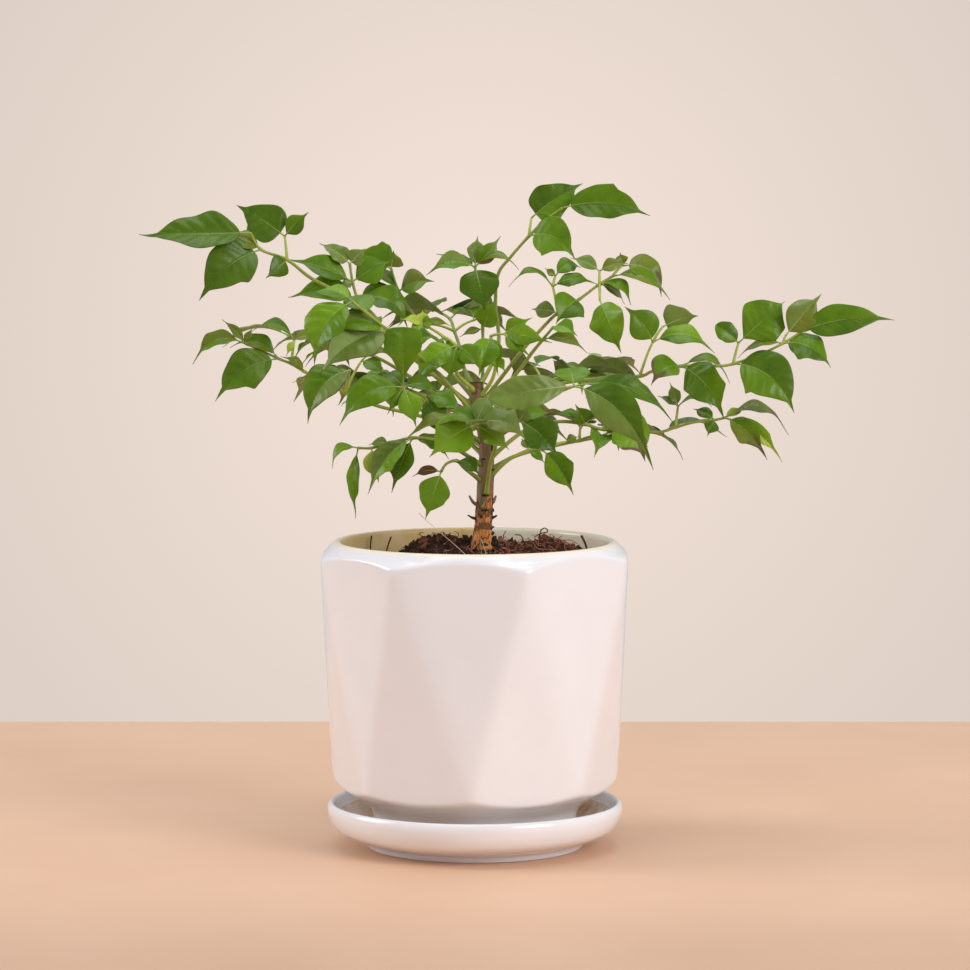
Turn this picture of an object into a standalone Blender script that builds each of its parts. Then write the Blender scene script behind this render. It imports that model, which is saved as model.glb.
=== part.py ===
"""A small china doll plant in a faceted white glazed pot that stands in its saucer.

Lengths in this script are millimetres until a mesh is made. X runs to the right of the
front, Y away from the front, Z up. The origin is the centre of the saucer's flat underside.
"""

import math
import random

import bmesh
import bpy
from mathutils import Matrix, Vector
from mathutils.bvhtree import BVHTree

MM = 0.001
GAP = 0.3
ROOT_GAP = 0.45
UP = Vector((0.0, 0.0, 1.0))

# Pot
POT_SIDES = 8
POT_TURN = -3.0
POT_RIM_HEIGHT = 119.3
POT_LIP_RADIUS = 55.4
POT_BODY_RADIUS = 62.6
POT_FACET_TOP = 112.5
POT_FACET_TOP_RADIUS = 62.6
POT_FACET_BOTTOM = 26.5
POT_FACET_FOOT_RADIUS = 56.3
POT_FOOT_RADIUS = 39.0
POT_WALL = 3.6
POT_FLOOR = 8.0
POT_STEPS = 48

# Saucer
SAUCER_RADIUS = 57.6
SAUCER_HEIGHT = 17.4
SAUCER_FOOT_RADIUS = 42.0
SAUCER_FLOOR = 5.0
SAUCER_STEPS = 40

# Soil
SOIL_HEIGHT = 109.0
SOIL_MOUND = 6.7
SOIL_MOUND_RADIUS = 26.0
SOIL_PAD_RADIUS = 6.5
SOIL_SIDES = 28

# Trunk: the middle of the stem, its lean and its thickness by height above the soil
TRUNK_FOOT = SOIL_HEIGHT + SOIL_MOUND + GAP
TRUNK_TOP = 181.0
TRUNK_MIDDLE = ((116, 2.5), (125, 3.2), (135, 3.9), (155, 4.6), (168, 2.6), (181, 0.4))
TRUNK_RADIUS = ((116, 4.7), (119, 3.9), (125, 3.4), (145, 3.2), (156, 2.8), (181, 2.6))
FLARE_HEIGHT = 6.0
FLARE_DEPTH = 0.14

# Limbs and leaves
PETIOLE_RADIUS = 1.35
RACHIS_RADIUS = 1.0
RACHIS_TIP_RADIUS = 0.65
STALK_RADIUS = 0.6
LEAF_STALK_SHARE = 0.09
LEAF_STALK_HALF = 0.45
LEAF_THICK = 0.62
LEAF_BODY_SHARE = 0.86
LEAF_TAIL = 0.65
BIG_LEAF = 20.0
BIG_LEAF_MARKS = (0.12, 0.34, 0.62, 0.82)
SMALL_LEAF_MARKS = (0.3, 0.7)
TWIG_PAST_NODE = 0.9
STRAIGHT_END = 0.7
CLEARANCE = 0.45

# The way a blade's upper side looks: towards the front, half up, or up with its edge in view
FRONT = (0.0, -1.0, 0.3)
HALF = (0.0, -1.0, 1.0)
EDGE = (0.0, -0.4, 1.0)
LEFT = (-0.5, -1.0, 0.4)
RIGHT = (0.5, -1.0, 0.4)
UNDER = (0.0, -1.0, -0.3)


def leaf(node, right, away, up, wide, faces=FRONT, arch=0.08, rise=0.04):
    """A leaflet: the node it grows from, its tip from there, its width and its bow."""
    return {
        "node": node,
        "reach": Vector((right, away, up)),
        "wide": wide,
        "faces": Vector(faces),
        "arch": arch,
        "rise": rise,
    }


def frond(name, root, path, cut, stalks, leaves):
    """A compound leaf: root height on the trunk, the rachis knots, and what the knots carry.

    Stalks are (node, right, away, up) and add a node each, numbered on after the knots.
    The petiole ends at the knot numbered cut, where the mass of foliage begins.
    """
    return {
        "name": name,
        "root": root,
        "path": [Vector(p) for p in path],
        "cut": cut,
        "stalks": stalks,
        "leaves": leaves,
    }


def shown_fronds():
    """The compound leaves that show from the front, each with its own leaflets."""
    return [
        frond("left_high", 171, [(-18, 4, 185), (-37, 8, 201), (-50, 10, 213), (-64, 10, 221),
                                 (-73, 9, 228), (-83, 7, 232), (-91, 5, 239)], 3,
              [(4, -1, 3, 9)],
              [leaf(7, -19, 5, 12, 17, FRONT, 0.05),
               leaf(7, 10, -3, 10, 8),
               leaf(4, -8, -6, -7, 9, UNDER),
               leaf(5, -13, 9, 5, 11, EDGE),
               leaf(5, -24, -9, -19, 18, FRONT, 0.1, 0.1),
               leaf(6, -39, -2, -1, 19, HALF, 0.05)]),
        frond("left_mid", 158, [(-10, -5, 165), (-25, -4, 169), (-38, -3, 172), (-50, -2, 177),
                                (-66, 0, 185), (-71, 0, 188), (-76, 0, 190), (-89, 0, 196)], 2,
              [(3, 2, -7, 9), (3, 6, 3, 12), (5, 1, 2, 9)],
              [leaf(8, -16, -8, -20, 15, LEFT, 0.12),
               leaf(8, -6, -2, -5, 7, EDGE),
               leaf(9, 15, 2, -1, 7, EDGE, 0.22),
               leaf(9, 9, -5, -5, 7, HALF),
               leaf(10, -17, -1, 3, 10, EDGE, 0.24),
               leaf(10, 8, 3, 1, 5, HALF),
               leaf(10, -3, -3, -6, 3),
               leaf(4, -9, -3, 6, 6, HALF),
               leaf(6, -19, 5, 4, 9, HALF, 0.12, 0.14),
               leaf(6, -24, -8, -16, 16, FRONT, 0.1, 0.08),
               leaf(7, -20, -3, -8, 9, HALF, 0.14, 0.14),
               leaf(7, 3, 1, 6, 3),
               leaf(7, -9, 3, 9, 4, HALF)]),
        frond("left_top", 174, [(-12, 11, 186), (-30, 17, 197), (-43, 20, 204), (-46, 21, 212),
                                (-48, 21, 219), (-49, 21, 226)], 2,
              [],
              [leaf(3, -27, -3, 1, 13, HALF, 0.1),
               leaf(3, 20, -3, -12, 11, HALF, 0.2),
               leaf(4, -25, -3, 9, 13, HALF),
               leaf(4, 15, 3, 8, 13),
               leaf(4, -5, -2, -2, 4),
               leaf(5, -12, 4, 8, 8, HALF),
               leaf(5, 6, 3, 6, 7)]),
        frond("left_top_back", 178, [(-8, 16, 191), (-20, 24, 200), (-25, 25, 207), (-30, 26, 215),
                                     (-33, 26, 224)], 1,
              [],
              [leaf(3, 14, -3, 4, 14, HALF),
               leaf(3, -16, 4, 4, 9, EDGE, 0.2),
               leaf(4, -14, 3, 7, 15, FRONT)]),
        frond("young", 178, [(-7, -9, 185), (-8, -11, 193), (-12, -12, 199), (-20, -13, 204)], 1,
              [(2, 5, -6, -3)],
              [leaf(3, -8, -2, 2, 5, HALF),
               leaf(3, -5, -4, -4, 5),
               leaf(3, 0, 2, 5, 4),
               leaf(3, 11, 3, -1, 4, HALF),
               leaf(2, -3, -2, -6, 3),
               leaf(4, 9, -2, -9, 9, FRONT, 0.1),
               leaf(4, -11, -3, -12, 8, LEFT, 0.1)]),
        frond("centre_top", 173, [(3, 9, 185), (3, 11, 201), (2, 12, 213), (0, 12, 225)], 0,
              [],
              [leaf(1, 5, -5, 12, 9),
               leaf(1, -9, -2, -3, 5, HALF),
               leaf(3, -15, 3, 5, 5, HALF),
               leaf(3, 1, 4, 12, 8),
               leaf(3, 10, 2, 12, 8, RIGHT),
               leaf(3, 17, -2, -1, 8, EDGE, 0.22),
               leaf(3, -12, 6, 2, 9, EDGE),
               leaf(3, -19, -5, -3, 10, HALF),
               leaf(3, 5, -8, -17, 17, FRONT, 0.1)]),
        frond("centre", 176, [(7, -6, 183), (8, -7, 191), (6, -7, 199)], 1,
              [(2, 5, -4, 1)],
              [leaf(3, 10, -3, 6, 8),
               leaf(3, 18, -7, -2, 8, HALF),
               leaf(3, 10, -6, -8, 7),
               leaf(2, -3, -7, -16, 10, FRONT, 0.12)]),
        frond("top", 179, [(9, 12, 194), (8, 17, 210), (9, 17, 222), (14, 16, 229), (21, 14, 237),
                           (27, 13, 243), (34, 12, 248)], 2,
              [(4, 1, 2, 7)],
              [leaf(7, 20, 2, 14, 14, FRONT, 0.08, 0.1),
               leaf(4, 18, -8, -9, 17, FRONT, 0.1, 0.16),
               leaf(6, 34, -2, -3, 14, FRONT, 0.06, 0.14)]),
        frond("right_top", 174, [(18, -3, 193), (25, -4, 201), (32, -5, 208), (40, -5, 213),
                                 (48, -5, 219), (53, -5, 222)], 1,
              [(2, -2, 2, 10), (6, 1, 1, 4), (4, 0, 1, 5), (4, 0, -5, -6), (5, 4, 3, 4)],
              [leaf(6, -17, -3, 0, 6, EDGE, 0.26),
               leaf(6, 17, -3, 1, 7, HALF, 0.12),
               leaf(7, -4, 0, 3, 3),
               leaf(7, 10, 5, 3, 8, HALF, 0.2),
               leaf(2, -10, 6, 1, 8),
               leaf(3, -8, -9, -9, 13, FRONT, 0.1),
               leaf(8, -8, 2, 4, 4, HALF),
               leaf(8, 7, 1, 3, 5, HALF),
               leaf(4, 12, -4, -8, 8, EDGE, 0.1, 0.2),
               leaf(9, 8, -7, -20, 14, LEFT, 0.12),
               leaf(4, 10, 7, -8, 6, HALF),
               leaf(5, 22, -2, -9, 7, HALF, 0.08, 0.12),
               leaf(10, 15, 3, -10, 10, EDGE, 0.1, 0.25),
               leaf(10, -1, 1, 5, 5)]),
        frond("right_second", 170, [(17, -9, 186), (22, -12, 193), (26, -14, 198),
                                    (30, -16, 203)], 1,
              [],
              [leaf(2, 17, -3, -5, 6, HALF),
               leaf(3, 9, -7, -3, 8, HALF)]),
        frond("right_long", 168, [(25, 6, 178), (48, 6, 182), (64, 4, 183), (69, 3, 185),
                                  (80, 2, 187), (93, 1, 187), (100, 0, 188), (111, -1, 192),
                                  (121, -2, 196), (130, -2, 201)], 1,
              [(2, 5, 2, 13), (10, 4, 2, 6), (6, 2, 1, 8), (8, 1, 0, 3)],
              [leaf(10, -11, -3, 14, 13, FRONT, 0.08, 0.14),
               leaf(11, 14, 4, 4, 13, UNDER, 0.08, 0.16),
               leaf(10, 24, -4, -4, 11, HALF, 0.1, 0.12),
               leaf(4, -12, -7, -7, 13, HALF, 0.08, 0.14),
               leaf(4, 19, 4, -7, 9, EDGE, 0.1, 0.2),
               leaf(4, 16, -10, -20, 15, LEFT, 0.1, 0.16),
               leaf(12, -9, -1, 7, 8),
               leaf(12, 18, 2, 16, 18, FRONT),
               leaf(6, 21, -9, -18, 19, FRONT, 0.1, 0.18),
               leaf(8, -17, 5, -6, 8, EDGE, 0.1),
               leaf(13, 14, 3, 16, 12, RIGHT),
               leaf(8, 18, -6, -9, 14, HALF),
               leaf(9, 32, -1, 4, 13, FRONT, 0.06, 0.1)]),
        frond("right_low", 152, [(20, 7, 162), (32, 8, 165), (43, 8, 164), (50, 8, 162),
                                 (70, 6, 161), (78, 5, 163), (85, 4, 165), (93, 3, 166),
                                 (97, 2, 167)], 1,
              [(3, 1, 2, 5), (5, 1, 2, 8), (3, 3, -2, 3)],
              [leaf(2, -13, 4, 3, 7, EDGE, 0.16),
               leaf(2, -4, -3, 8, 8),
               leaf(9, -5, -1, 2, 3, HALF),
               leaf(9, 6, 3, 3, 4, HALF),
               leaf(11, 11, -5, -15, 15, FRONT, 0.1, 0.24),
               leaf(10, -8, 1, 4, 5, HALF),
               leaf(10, -3, 4, 9, 6),
               leaf(10, 13, -3, 0, 5, EDGE, 0.2),
               leaf(7, -3, -4, -6, 6),
               leaf(7, -8, 5, 4, 6, HALF),
               leaf(8, 16, -6, -16, 9, LEFT, 0.1, 0.1),
               leaf(8, 25, 3, -7, 10, EDGE, 0.1, 0.18),
               leaf(8, 8, 5, 3, 4, HALF)]),
        frond("front_right", 165, [(13, -20, 172), (24, -37, 177), (33, -52, 181), (37, -60, 183)], 2,
              [],
              [leaf(3, -31, -6, -6, 13, HALF, 0.08, 0.06),
               leaf(3, 29, -16, -30, 18, LEFT, 0.1, 0.2),
               leaf(3, 38, 6, -15, 10, HALF, 0.08, 0.1),
               leaf(3, -2, 13, 6, 14, EDGE)]),
        frond("front_centre", 138, [(6, -11, 150), (8, -18, 158), (6, -29, 164), (0, -40, 167)], 2,
              [],
              [leaf(3, -18, -8, -10, 18, FRONT, 0.1),
               leaf(3, 21, -6, -8, 10, EDGE, 0.1, 0.2),
               leaf(3, 10, 3, -9, 9),
               leaf(3, -3, -16, 1, 12, EDGE)]),
        frond("right_front_low", 158, [(13, -10, 163), (17, -17, 167)], 0,
              [],
              [leaf(1, 15, -6, -14, 15, FRONT),
               leaf(1, 4, -2, 6, 7),
               leaf(1, 12, 3, 3, 7, HALF)]),
        frond("front_left", 167, [(-14, -15, 185), (-25, -29, 196), (-33, -38, 203), (-40, -43, 209),
                                  (-46, -45, 214)], 1,
              [],
              [leaf(4, -14, -6, -24, 18, LEFT, 0.12, 0.12),
               leaf(2, -22, -3, -1, 12, EDGE, 0.2),
               leaf(2, -25, -11, -16, 20, LEFT, 0.1),
               leaf(3, -9, 12, 6, 13, EDGE),
               leaf(4, -16, 8, 2, 12, EDGE)]),
        frond("left_front_mid", 163, [(-10, -16, 172), (-19, -26, 177), (-27, -34, 181)], 1,
              [],
              [leaf(2, 0, -3, 23, 16, FRONT, 0.12),
               leaf(2, -24, -7, -14, 15, HALF, 0.1),
               leaf(2, 5, -7, -15, 9),
               leaf(2, 13, 5, -2, 8, HALF),
               leaf(2, -6, -4, -10, 5),
               leaf(2, -9, 7, 4, 9, HALF)]),
        frond("left_low", 149, [(-8, -7, 156), (-15, -9, 159), (-24, -10, 160), (-33, -10, 158),
                                (-40, -9, 156), (-45, -8, 156)], 1,
              [],
              [leaf(5, -10, -1, -8, 7, EDGE, 0.12, 0.2),
               leaf(5, -1, -3, -27, 10, LEFT, 0.1),
               leaf(4, 1, -4, -11, 9),
               leaf(3, -8, 3, -1, 5, HALF),
               leaf(2, -17, -7, -21, 11, LEFT, 0.08),
               leaf(2, -8, -3, -21, 9, FRONT, 0.08),
               leaf(2, 6, 4, -7, 6, HALF)]),
        frond("low_drop", 143, [(-4, -6, 148), (-7, -8, 151), (-11, -10, 150), (-13, -11, 147)], 0,
              [],
              [leaf(3, -6, -4, -18, 15, FRONT, 0.08),
               leaf(3, -11, 2, -2, 5, HALF),
               leaf(1, 9, -4, -6, 7, HALF)]),
        frond("low_right", 145, [(13, -4, 151), (21, -5, 155), (26, -6, 155)], 0,
              [(2, 9, 2, 3)],
              [leaf(2, 12, -5, -17, 11, LEFT, 0.08, 0.14),
               leaf(1, 6, -3, -5, 4, HALF),
               leaf(3, 5, 1, 2, 4),
               leaf(1, -3, 4, 4, 4, HALF)]),
        frond("back_right", 164, [(18, 30, 172), (32, 50, 177), (44, 68, 180), (50, 75, 183)], 1,
              [],
              [leaf(2, -10, 4, 4, 4, HALF),
               leaf(3, 12, 1, -4, 6, HALF),
               leaf(3, -4, 7, 5, 6, HALF),
               leaf(2, 20, 6, -8, 14, HALF),
               leaf(2, -14, 16, -10, 14, HALF),
               leaf(3, 8, 24, -6, 15, EDGE)]),
    ]


GROWN_STEPS = (0.22, 0.4, 0.56, 0.72, 0.86, 1.0)


def grown_frond(name, root, heading, reach, climb, seed):
    """A compound leaf laid out by rule: pairs of leaflets that shrink towards the tip.

    Heading is the compass bearing in degrees, 0 straight away from the front and 90 right.
    """
    chance = random.Random(seed)
    bearing = math.radians(heading)
    outward = Vector((math.sin(bearing), math.cos(bearing), 0.0))
    sideways = Vector((math.cos(bearing), -math.sin(bearing), 0.0))
    path = []
    for step in GROWN_STEPS:
        lift = climb * (1.0 - (1.0 - step) ** 2)
        wander = chance.uniform(-2.0, 2.0) * step
        path.append(outward * (reach * step) + sideways * wander + UP * (root + lift))
    stalks = []
    leaves = []
    first = 2
    for side in (-1.0, 1.0):
        stalk = sideways * side * 9.0 + outward * 5.0 + UP * chance.uniform(2.0, 7.0)
        stalks.append((first, stalk.x, stalk.y, stalk.z))
        for turn in (-55.0, 8.0, 70.0):
            spin = Matrix.Rotation(math.radians(turn * side), 3, "Z")
            size = chance.uniform(17.0, 24.0)
            way = spin @ (sideways * side + outward * 0.35).normalized()
            tip = way * size + UP * chance.uniform(-9.0, 3.0)
            faces = UP + way * 0.35 + outward * 0.5
            leaves.append(leaf(5 + len(stalks), tip.x, tip.y, tip.z, size * 0.52, faces, 0.12))
    for place, node in enumerate((3, 4)):
        for side in (-1.0, 1.0):
            size = chance.uniform(24.0, 31.0) - 3.0 * place
            way = (sideways * side + outward * chance.uniform(0.3, 0.7)).normalized()
            tip = way * size + UP * chance.uniform(-14.0, 2.0)
            faces = UP + outward * 0.6 + sideways * side * 0.2
            leaves.append(leaf(node, tip.x, tip.y, tip.z, size * 0.55, faces, 0.12))
    tip = outward * chance.uniform(28.0, 34.0) + UP * chance.uniform(-12.0, -2.0)
    leaves.append(leaf(5, tip.x, tip.y, tip.z, 15.0, UP + outward * 0.6, 0.12))
    return frond(name, root, path, 1, stalks, leaves)


def hidden_fronds():
    """The compound leaves round the back, which keep the crown full from every side."""
    return [
        grown_frond("back_left_high", 163, -62, 84, 34, 11),
        grown_frond("back_left", 156, -38, 92, 20, 12),
        grown_frond("back_high", 168, -12, 74, 38, 13),
        grown_frond("back_low", 155, 8, 90, 6, 14),
        grown_frond("back_right_high", 169, 40, 74, 24, 15),
        grown_frond("back_right_side", 147, 64, 82, 12, 66),
        grown_frond("back_left_low", 151, -68, 66, 8, 17),
    ]


def level(table, height):
    """Read a value from (height, value) pairs, straight between neighbours."""
    for (low, first), (high, second) in zip(table, table[1:]):
        if height <= high:
            share = max(0.0, (height - low) / (high - low))
            return first + (second - first) * share
    return table[-1][1]


def trunk_middle(height):
    return Vector((level(TRUNK_MIDDLE, height), 0.0, height))


def smooth_stretch(knots, first, last, step):
    """Points about a step apart on a smooth curve through the knots, from one knot to another."""
    points = []
    end_knot = len(knots) - 1
    for index in range(first, last):
        before = knots[max(index - 1, 0)]
        start, end = knots[index], knots[index + 1]
        after = knots[min(index + 2, end_knot)]
        count = max(1, round((end - start).length / step))
        for turn in range(count):
            t = turn / count
            points.append(0.5 * ((2 * start) + (end - before) * t
                                 + (2 * before - 5 * start + 4 * end - after) * t ** 2
                                 + (3 * start - before - 3 * end + after) * t ** 3))
    points.append(knots[last].copy())
    return points


def way_through(knots, index):
    """The direction in which the smooth curve passes through a knot."""
    return (knots[index + 1] - knots[index - 1]).normalized()


def rooted_path(plant):
    """The rachis knots with the root in front: on the trunk's surface, a gap clear of it."""
    middle = trunk_middle(plant["root"])
    first = plant["path"][0]
    away = first - middle
    heading = Vector((away.x, away.y, 0.0)).normalized()
    steep = away.normalized().z
    stand_off = level(TRUNK_RADIUS, plant["root"]) + ROOT_GAP + PETIOLE_RADIUS * abs(steep)
    return [middle + heading * stand_off] + plant["path"]


def frond_nodes(plant):
    """Where each node of a frond is: the rachis knots, then the ends of its stalks."""
    nodes = list(plant["path"])
    for node, right, away, up in plant["stalks"]:
        nodes.append(nodes[node] + Vector((right, away, up)))
    return nodes


def leaf_half_width(t):
    """Half width of a blade as a share of its widest, from its base at 0 to its tip at 1."""
    body = min(t / LEAF_BODY_SHARE, 1.0)
    ovate = 3.18 * body ** 0.6 * (1.0 - body) ** 1.22
    return max(ovate, LEAF_TAIL * (1.0 - t))


def leaf_sections(base, blade, swell=0.0):
    """The three-cornered cross-sections of a leaflet: its two edges and its keel below."""
    length = blade["reach"].length
    along = blade["reach"] / length
    normal = (blade["faces"] - along * blade["faces"].dot(along)).normalized()
    side = along.cross(normal)
    lift = UP - along * along.z
    marks = BIG_LEAF_MARKS if length > BIG_LEAF else SMALL_LEAF_MARKS
    stations = [(0.0, LEAF_STALK_HALF)]
    for t in marks:
        share = LEAF_STALK_SHARE + (1.0 - LEAF_STALK_SHARE) * t
        half = max(LEAF_STALK_HALF, blade["wide"] * 0.5 * leaf_half_width(t))
        stations.append((share, half))
    sections = []
    for share, half in stations:
        bow = 4.0 * share * (1.0 - share) * length
        slope = 4.0 * (1.0 - 2.0 * share) * blade["arch"]
        spine = base + along * (length * share)
        spine += (normal * blade["arch"] + lift * blade["rise"]) * bow
        facing = (normal - along * slope).normalized()
        reach = side * (half + swell)
        top = facing * (LEAF_THICK * 0.4 + swell)
        keel = facing * (LEAF_THICK * 0.6 + swell)
        sections.append((spine - reach + top, spine + reach + top, spine - keel))
    tip = base + blade["reach"] + along * swell
    return sections, tip


def leaf_shape(base, blade, swell=0.0):
    """Vertices and faces of one closed leaflet, its root at the middle of its twig."""
    sections, tip = leaf_sections(base, blade, swell)
    verts = [corner for section in sections for corner in section] + [tip]
    last = len(verts) - 1
    faces = [(0, 1, 2)]
    for k in range(3):
        following = (k + 1) % 3
        for row in range(len(sections) - 1):
            a = 3 * row
            faces.append((a + k, a + following, a + 3 + following, a + 3 + k))
        a = 3 * (len(sections) - 1)
        faces.append((a + k, a + following, last))
    return verts, faces


def new_object(name, mesh, collection):
    obj = bpy.data.objects.new(name, mesh)
    collection.objects.link(obj)
    return obj


def mesh_object(name, verts, faces, collection):
    """A mesh object from millimetre vertices, with all its faces turned outwards."""
    mesh = bpy.data.meshes.new(name)
    mesh.from_pydata([v * MM for v in verts], [], faces)
    shape = bmesh.new()
    shape.from_mesh(mesh)
    bmesh.ops.recalc_face_normals(shape, faces=shape.faces)
    bmesh.ops.triangulate(shape, faces=shape.faces)
    shape.to_mesh(mesh)
    shape.free()
    return new_object(name, mesh, collection)


def limb_curve(name, points, radii, resolution, collection):
    """A tapering limb: a poly curve with a round bevel and filled ends."""
    curve = bpy.data.curves.new(name, "CURVE")
    curve.dimensions = "3D"
    curve.bevel_depth = MM
    curve.bevel_resolution = resolution
    curve.use_fill_caps = True
    spline = curve.splines.new("POLY")
    spline.points.add(len(points) - 1)
    for point, place, radius in zip(spline.points, points, radii):
        point.co = (place.x * MM, place.y * MM, place.z * MM, 1.0)
        point.radius = radius
    return new_object(name, curve, collection)


def made_mesh(obj, collection):
    """Turn an object, as its modifiers or its bevel leave it, into one plain welded mesh."""
    bpy.context.view_layer.update()
    shape = obj.evaluated_get(bpy.context.evaluated_depsgraph_get())
    mesh = bpy.data.meshes.new_from_object(shape)
    name = obj.name
    place = obj.matrix_world.copy()
    bpy.data.objects.remove(obj)
    welded = bmesh.new()
    welded.from_mesh(mesh)
    bmesh.ops.remove_doubles(welded, verts=welded.verts, dist=0.00001)
    bmesh.ops.recalc_face_normals(welded, faces=welded.faces)
    bmesh.ops.triangulate(welded, faces=welded.faces)
    welded.to_mesh(mesh)
    welded.free()
    result = new_object(name, mesh, collection)
    result.matrix_world = place
    return result


def taper(count, first, last):
    return [first + (last - first) * k / (count - 1) for k in range(count)]


def paint(obj, material):
    obj.data.materials.clear()
    obj.data.materials.append(material)


def material(name, colour, roughness):
    made = bpy.data.materials.new(name)
    made.use_nodes = True
    shader = made.node_tree.nodes["Principled BSDF"]
    shader.inputs["Base Color"].default_value = (*colour, 1.0)
    shader.inputs["Roughness"].default_value = roughness
    shader.inputs["Metallic"].default_value = 0.0
    return made


def turned(name, profile, steps, collection):
    """A solid of revolution from (radius, height) pairs that run down its outer side."""
    mesh = bpy.data.meshes.new(name)
    verts = [(radius * MM, 0.0, height * MM) for radius, height in profile]
    mesh.from_pydata(verts, [(k, k + 1) for k in range(len(verts) - 1)], [])
    obj = new_object(name, mesh, collection)
    screw = obj.modifiers.new("turn", "SCREW")
    screw.steps = steps
    screw.render_steps = steps
    screw.use_merge_vertices = True
    screw.merge_threshold = 0.00001
    screw.use_smooth_shade = True
    return obj


def make_saucer(parts, glaze):
    rim = SAUCER_HEIGHT
    wide = SAUCER_RADIUS
    foot = SAUCER_FOOT_RADIUS
    profile = [(0.0, SAUCER_FLOOR), (foot + 2.6, SAUCER_FLOOR), (wide - 6.4, rim * 0.52),
               (wide - 3.5, rim - 3.2), (wide - 2.5, rim - 0.6), (wide - 1.5, rim),
               (wide - 0.5, rim - 0.6), (wide, rim - 2.4), (wide - 0.6, rim - 6.0),
               (wide - 2.5, rim - 9.4), (wide - 6.7, 5.3), (foot + 3.4, 3.4), (foot + 0.4, 2.2),
               (foot, 0.0), (0.0, 0.0)]
    saucer = turned("saucer", profile, SAUCER_STEPS, parts)
    paint(saucer, glaze)


def cavity_profile():
    """The inside of the pot, from the mouth's middle down to the floor's middle."""
    mouth = POT_LIP_RADIUS - POT_WALL
    return [(0.0, POT_RIM_HEIGHT + 6.0), (mouth, POT_RIM_HEIGHT + 6.0), (mouth, POT_RIM_HEIGHT - 6.0),
            (mouth - 3.2, POT_FACET_BOTTOM + 6.0), (POT_FOOT_RADIUS - 4.0, POT_FLOOR + 8.0),
            (POT_FOOT_RADIUS - 10.0, POT_FLOOR + 4.0), (0.0, POT_FLOOR + 4.0)]


def facet_guide(guides):
    """The solid whose flat triangles, point up and point down in turn, give the facets."""
    half_step = math.pi / POT_SIDES
    drop = POT_FACET_TOP - POT_FACET_BOTTOM
    flat_top = POT_FACET_TOP_RADIUS * math.cos(half_step)
    point_down_slope = (POT_FACET_FOOT_RADIUS - flat_top) / drop
    above = POT_RIM_HEIGHT + 12.0
    radius_above = (flat_top - point_down_slope * (above - POT_FACET_TOP)) / math.cos(half_step)
    flat_foot = POT_FACET_FOOT_RADIUS * math.cos(half_step)
    point_up_slope = (POT_FACET_TOP_RADIUS - flat_foot) / drop
    radius_below = (flat_foot - point_up_slope * POT_FACET_BOTTOM) / math.cos(half_step)
    rings = ((above, radius_above, 0.5), (POT_FACET_TOP, POT_FACET_TOP_RADIUS, 0.5),
             (POT_FACET_BOTTOM, POT_FACET_FOOT_RADIUS, 0.0), (0.0, radius_below, 0.0))
    shape = bmesh.new()
    for height, radius, phase in rings:
        for k in range(POT_SIDES):
            angle = 2.0 * math.pi * (k + phase) / POT_SIDES + math.radians(POT_TURN - 90.0)
            shape.verts.new((radius * math.cos(angle) * MM, radius * math.sin(angle) * MM, height * MM))
    bmesh.ops.convex_hull(shape, input=shape.verts)
    bmesh.ops.recalc_face_normals(shape, faces=shape.faces)
    mesh = bpy.data.meshes.new("facet_guide")
    shape.to_mesh(mesh)
    shape.free()
    return new_object("facet_guide", mesh, guides)


def make_pot(parts, guides, glaze):
    rim = POT_RIM_HEIGHT
    body = POT_BODY_RADIUS
    foot = POT_FOOT_RADIUS
    stand = SAUCER_FLOOR + GAP
    low = POT_FACET_BOTTOM
    profile = [(0.0, rim), (POT_LIP_RADIUS - 0.8, rim), (POT_LIP_RADIUS, rim - 0.8),
               (body - 4.7, rim - 3.2), (body - 1.6, rim - 5.2), (body - 0.2, rim - 6.8),
               (body, rim - 9.0),
               (POT_FACET_FOOT_RADIUS + 0.8, low + 6.0), (POT_FACET_FOOT_RADIUS, low),
               (foot + 12.5, low - 3.5), (foot + 7.0, low - 7.0), (foot + 2.5, low - 10.5),
               (foot + 0.4, low - 14.0), (foot, stand), (0.0, stand)]
    pot = turned("pot", profile, POT_STEPS, parts)
    cavity = turned("pot_cavity", cavity_profile(), POT_STEPS, guides)
    facets = facet_guide(guides)
    for guide in (cavity, facets):
        guide.hide_render = True
        guide.display_type = "WIRE"
    cut = pot.modifiers.new("facets", "BOOLEAN")
    cut.operation = "INTERSECT"
    cut.object = facets
    hollow = pot.modifiers.new("hollow", "BOOLEAN")
    hollow.operation = "DIFFERENCE"
    hollow.object = cavity
    paint(pot, glaze)


def polar_ring(shape, radius, height, rough=0.0, centre=0.0, chance=None):
    """A ring of vertices round (centre, 0), each up to rough above or below the height."""
    ring = []
    for k in range(SOIL_SIDES):
        angle = 2.0 * math.pi * k / SOIL_SIDES
        bump = chance.uniform(-rough, rough) if rough else 0.0
        place = Vector((centre + radius * math.cos(angle), radius * math.sin(angle), height + bump))
        ring.append(shape.verts.new(place * MM))
    return ring


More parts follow.
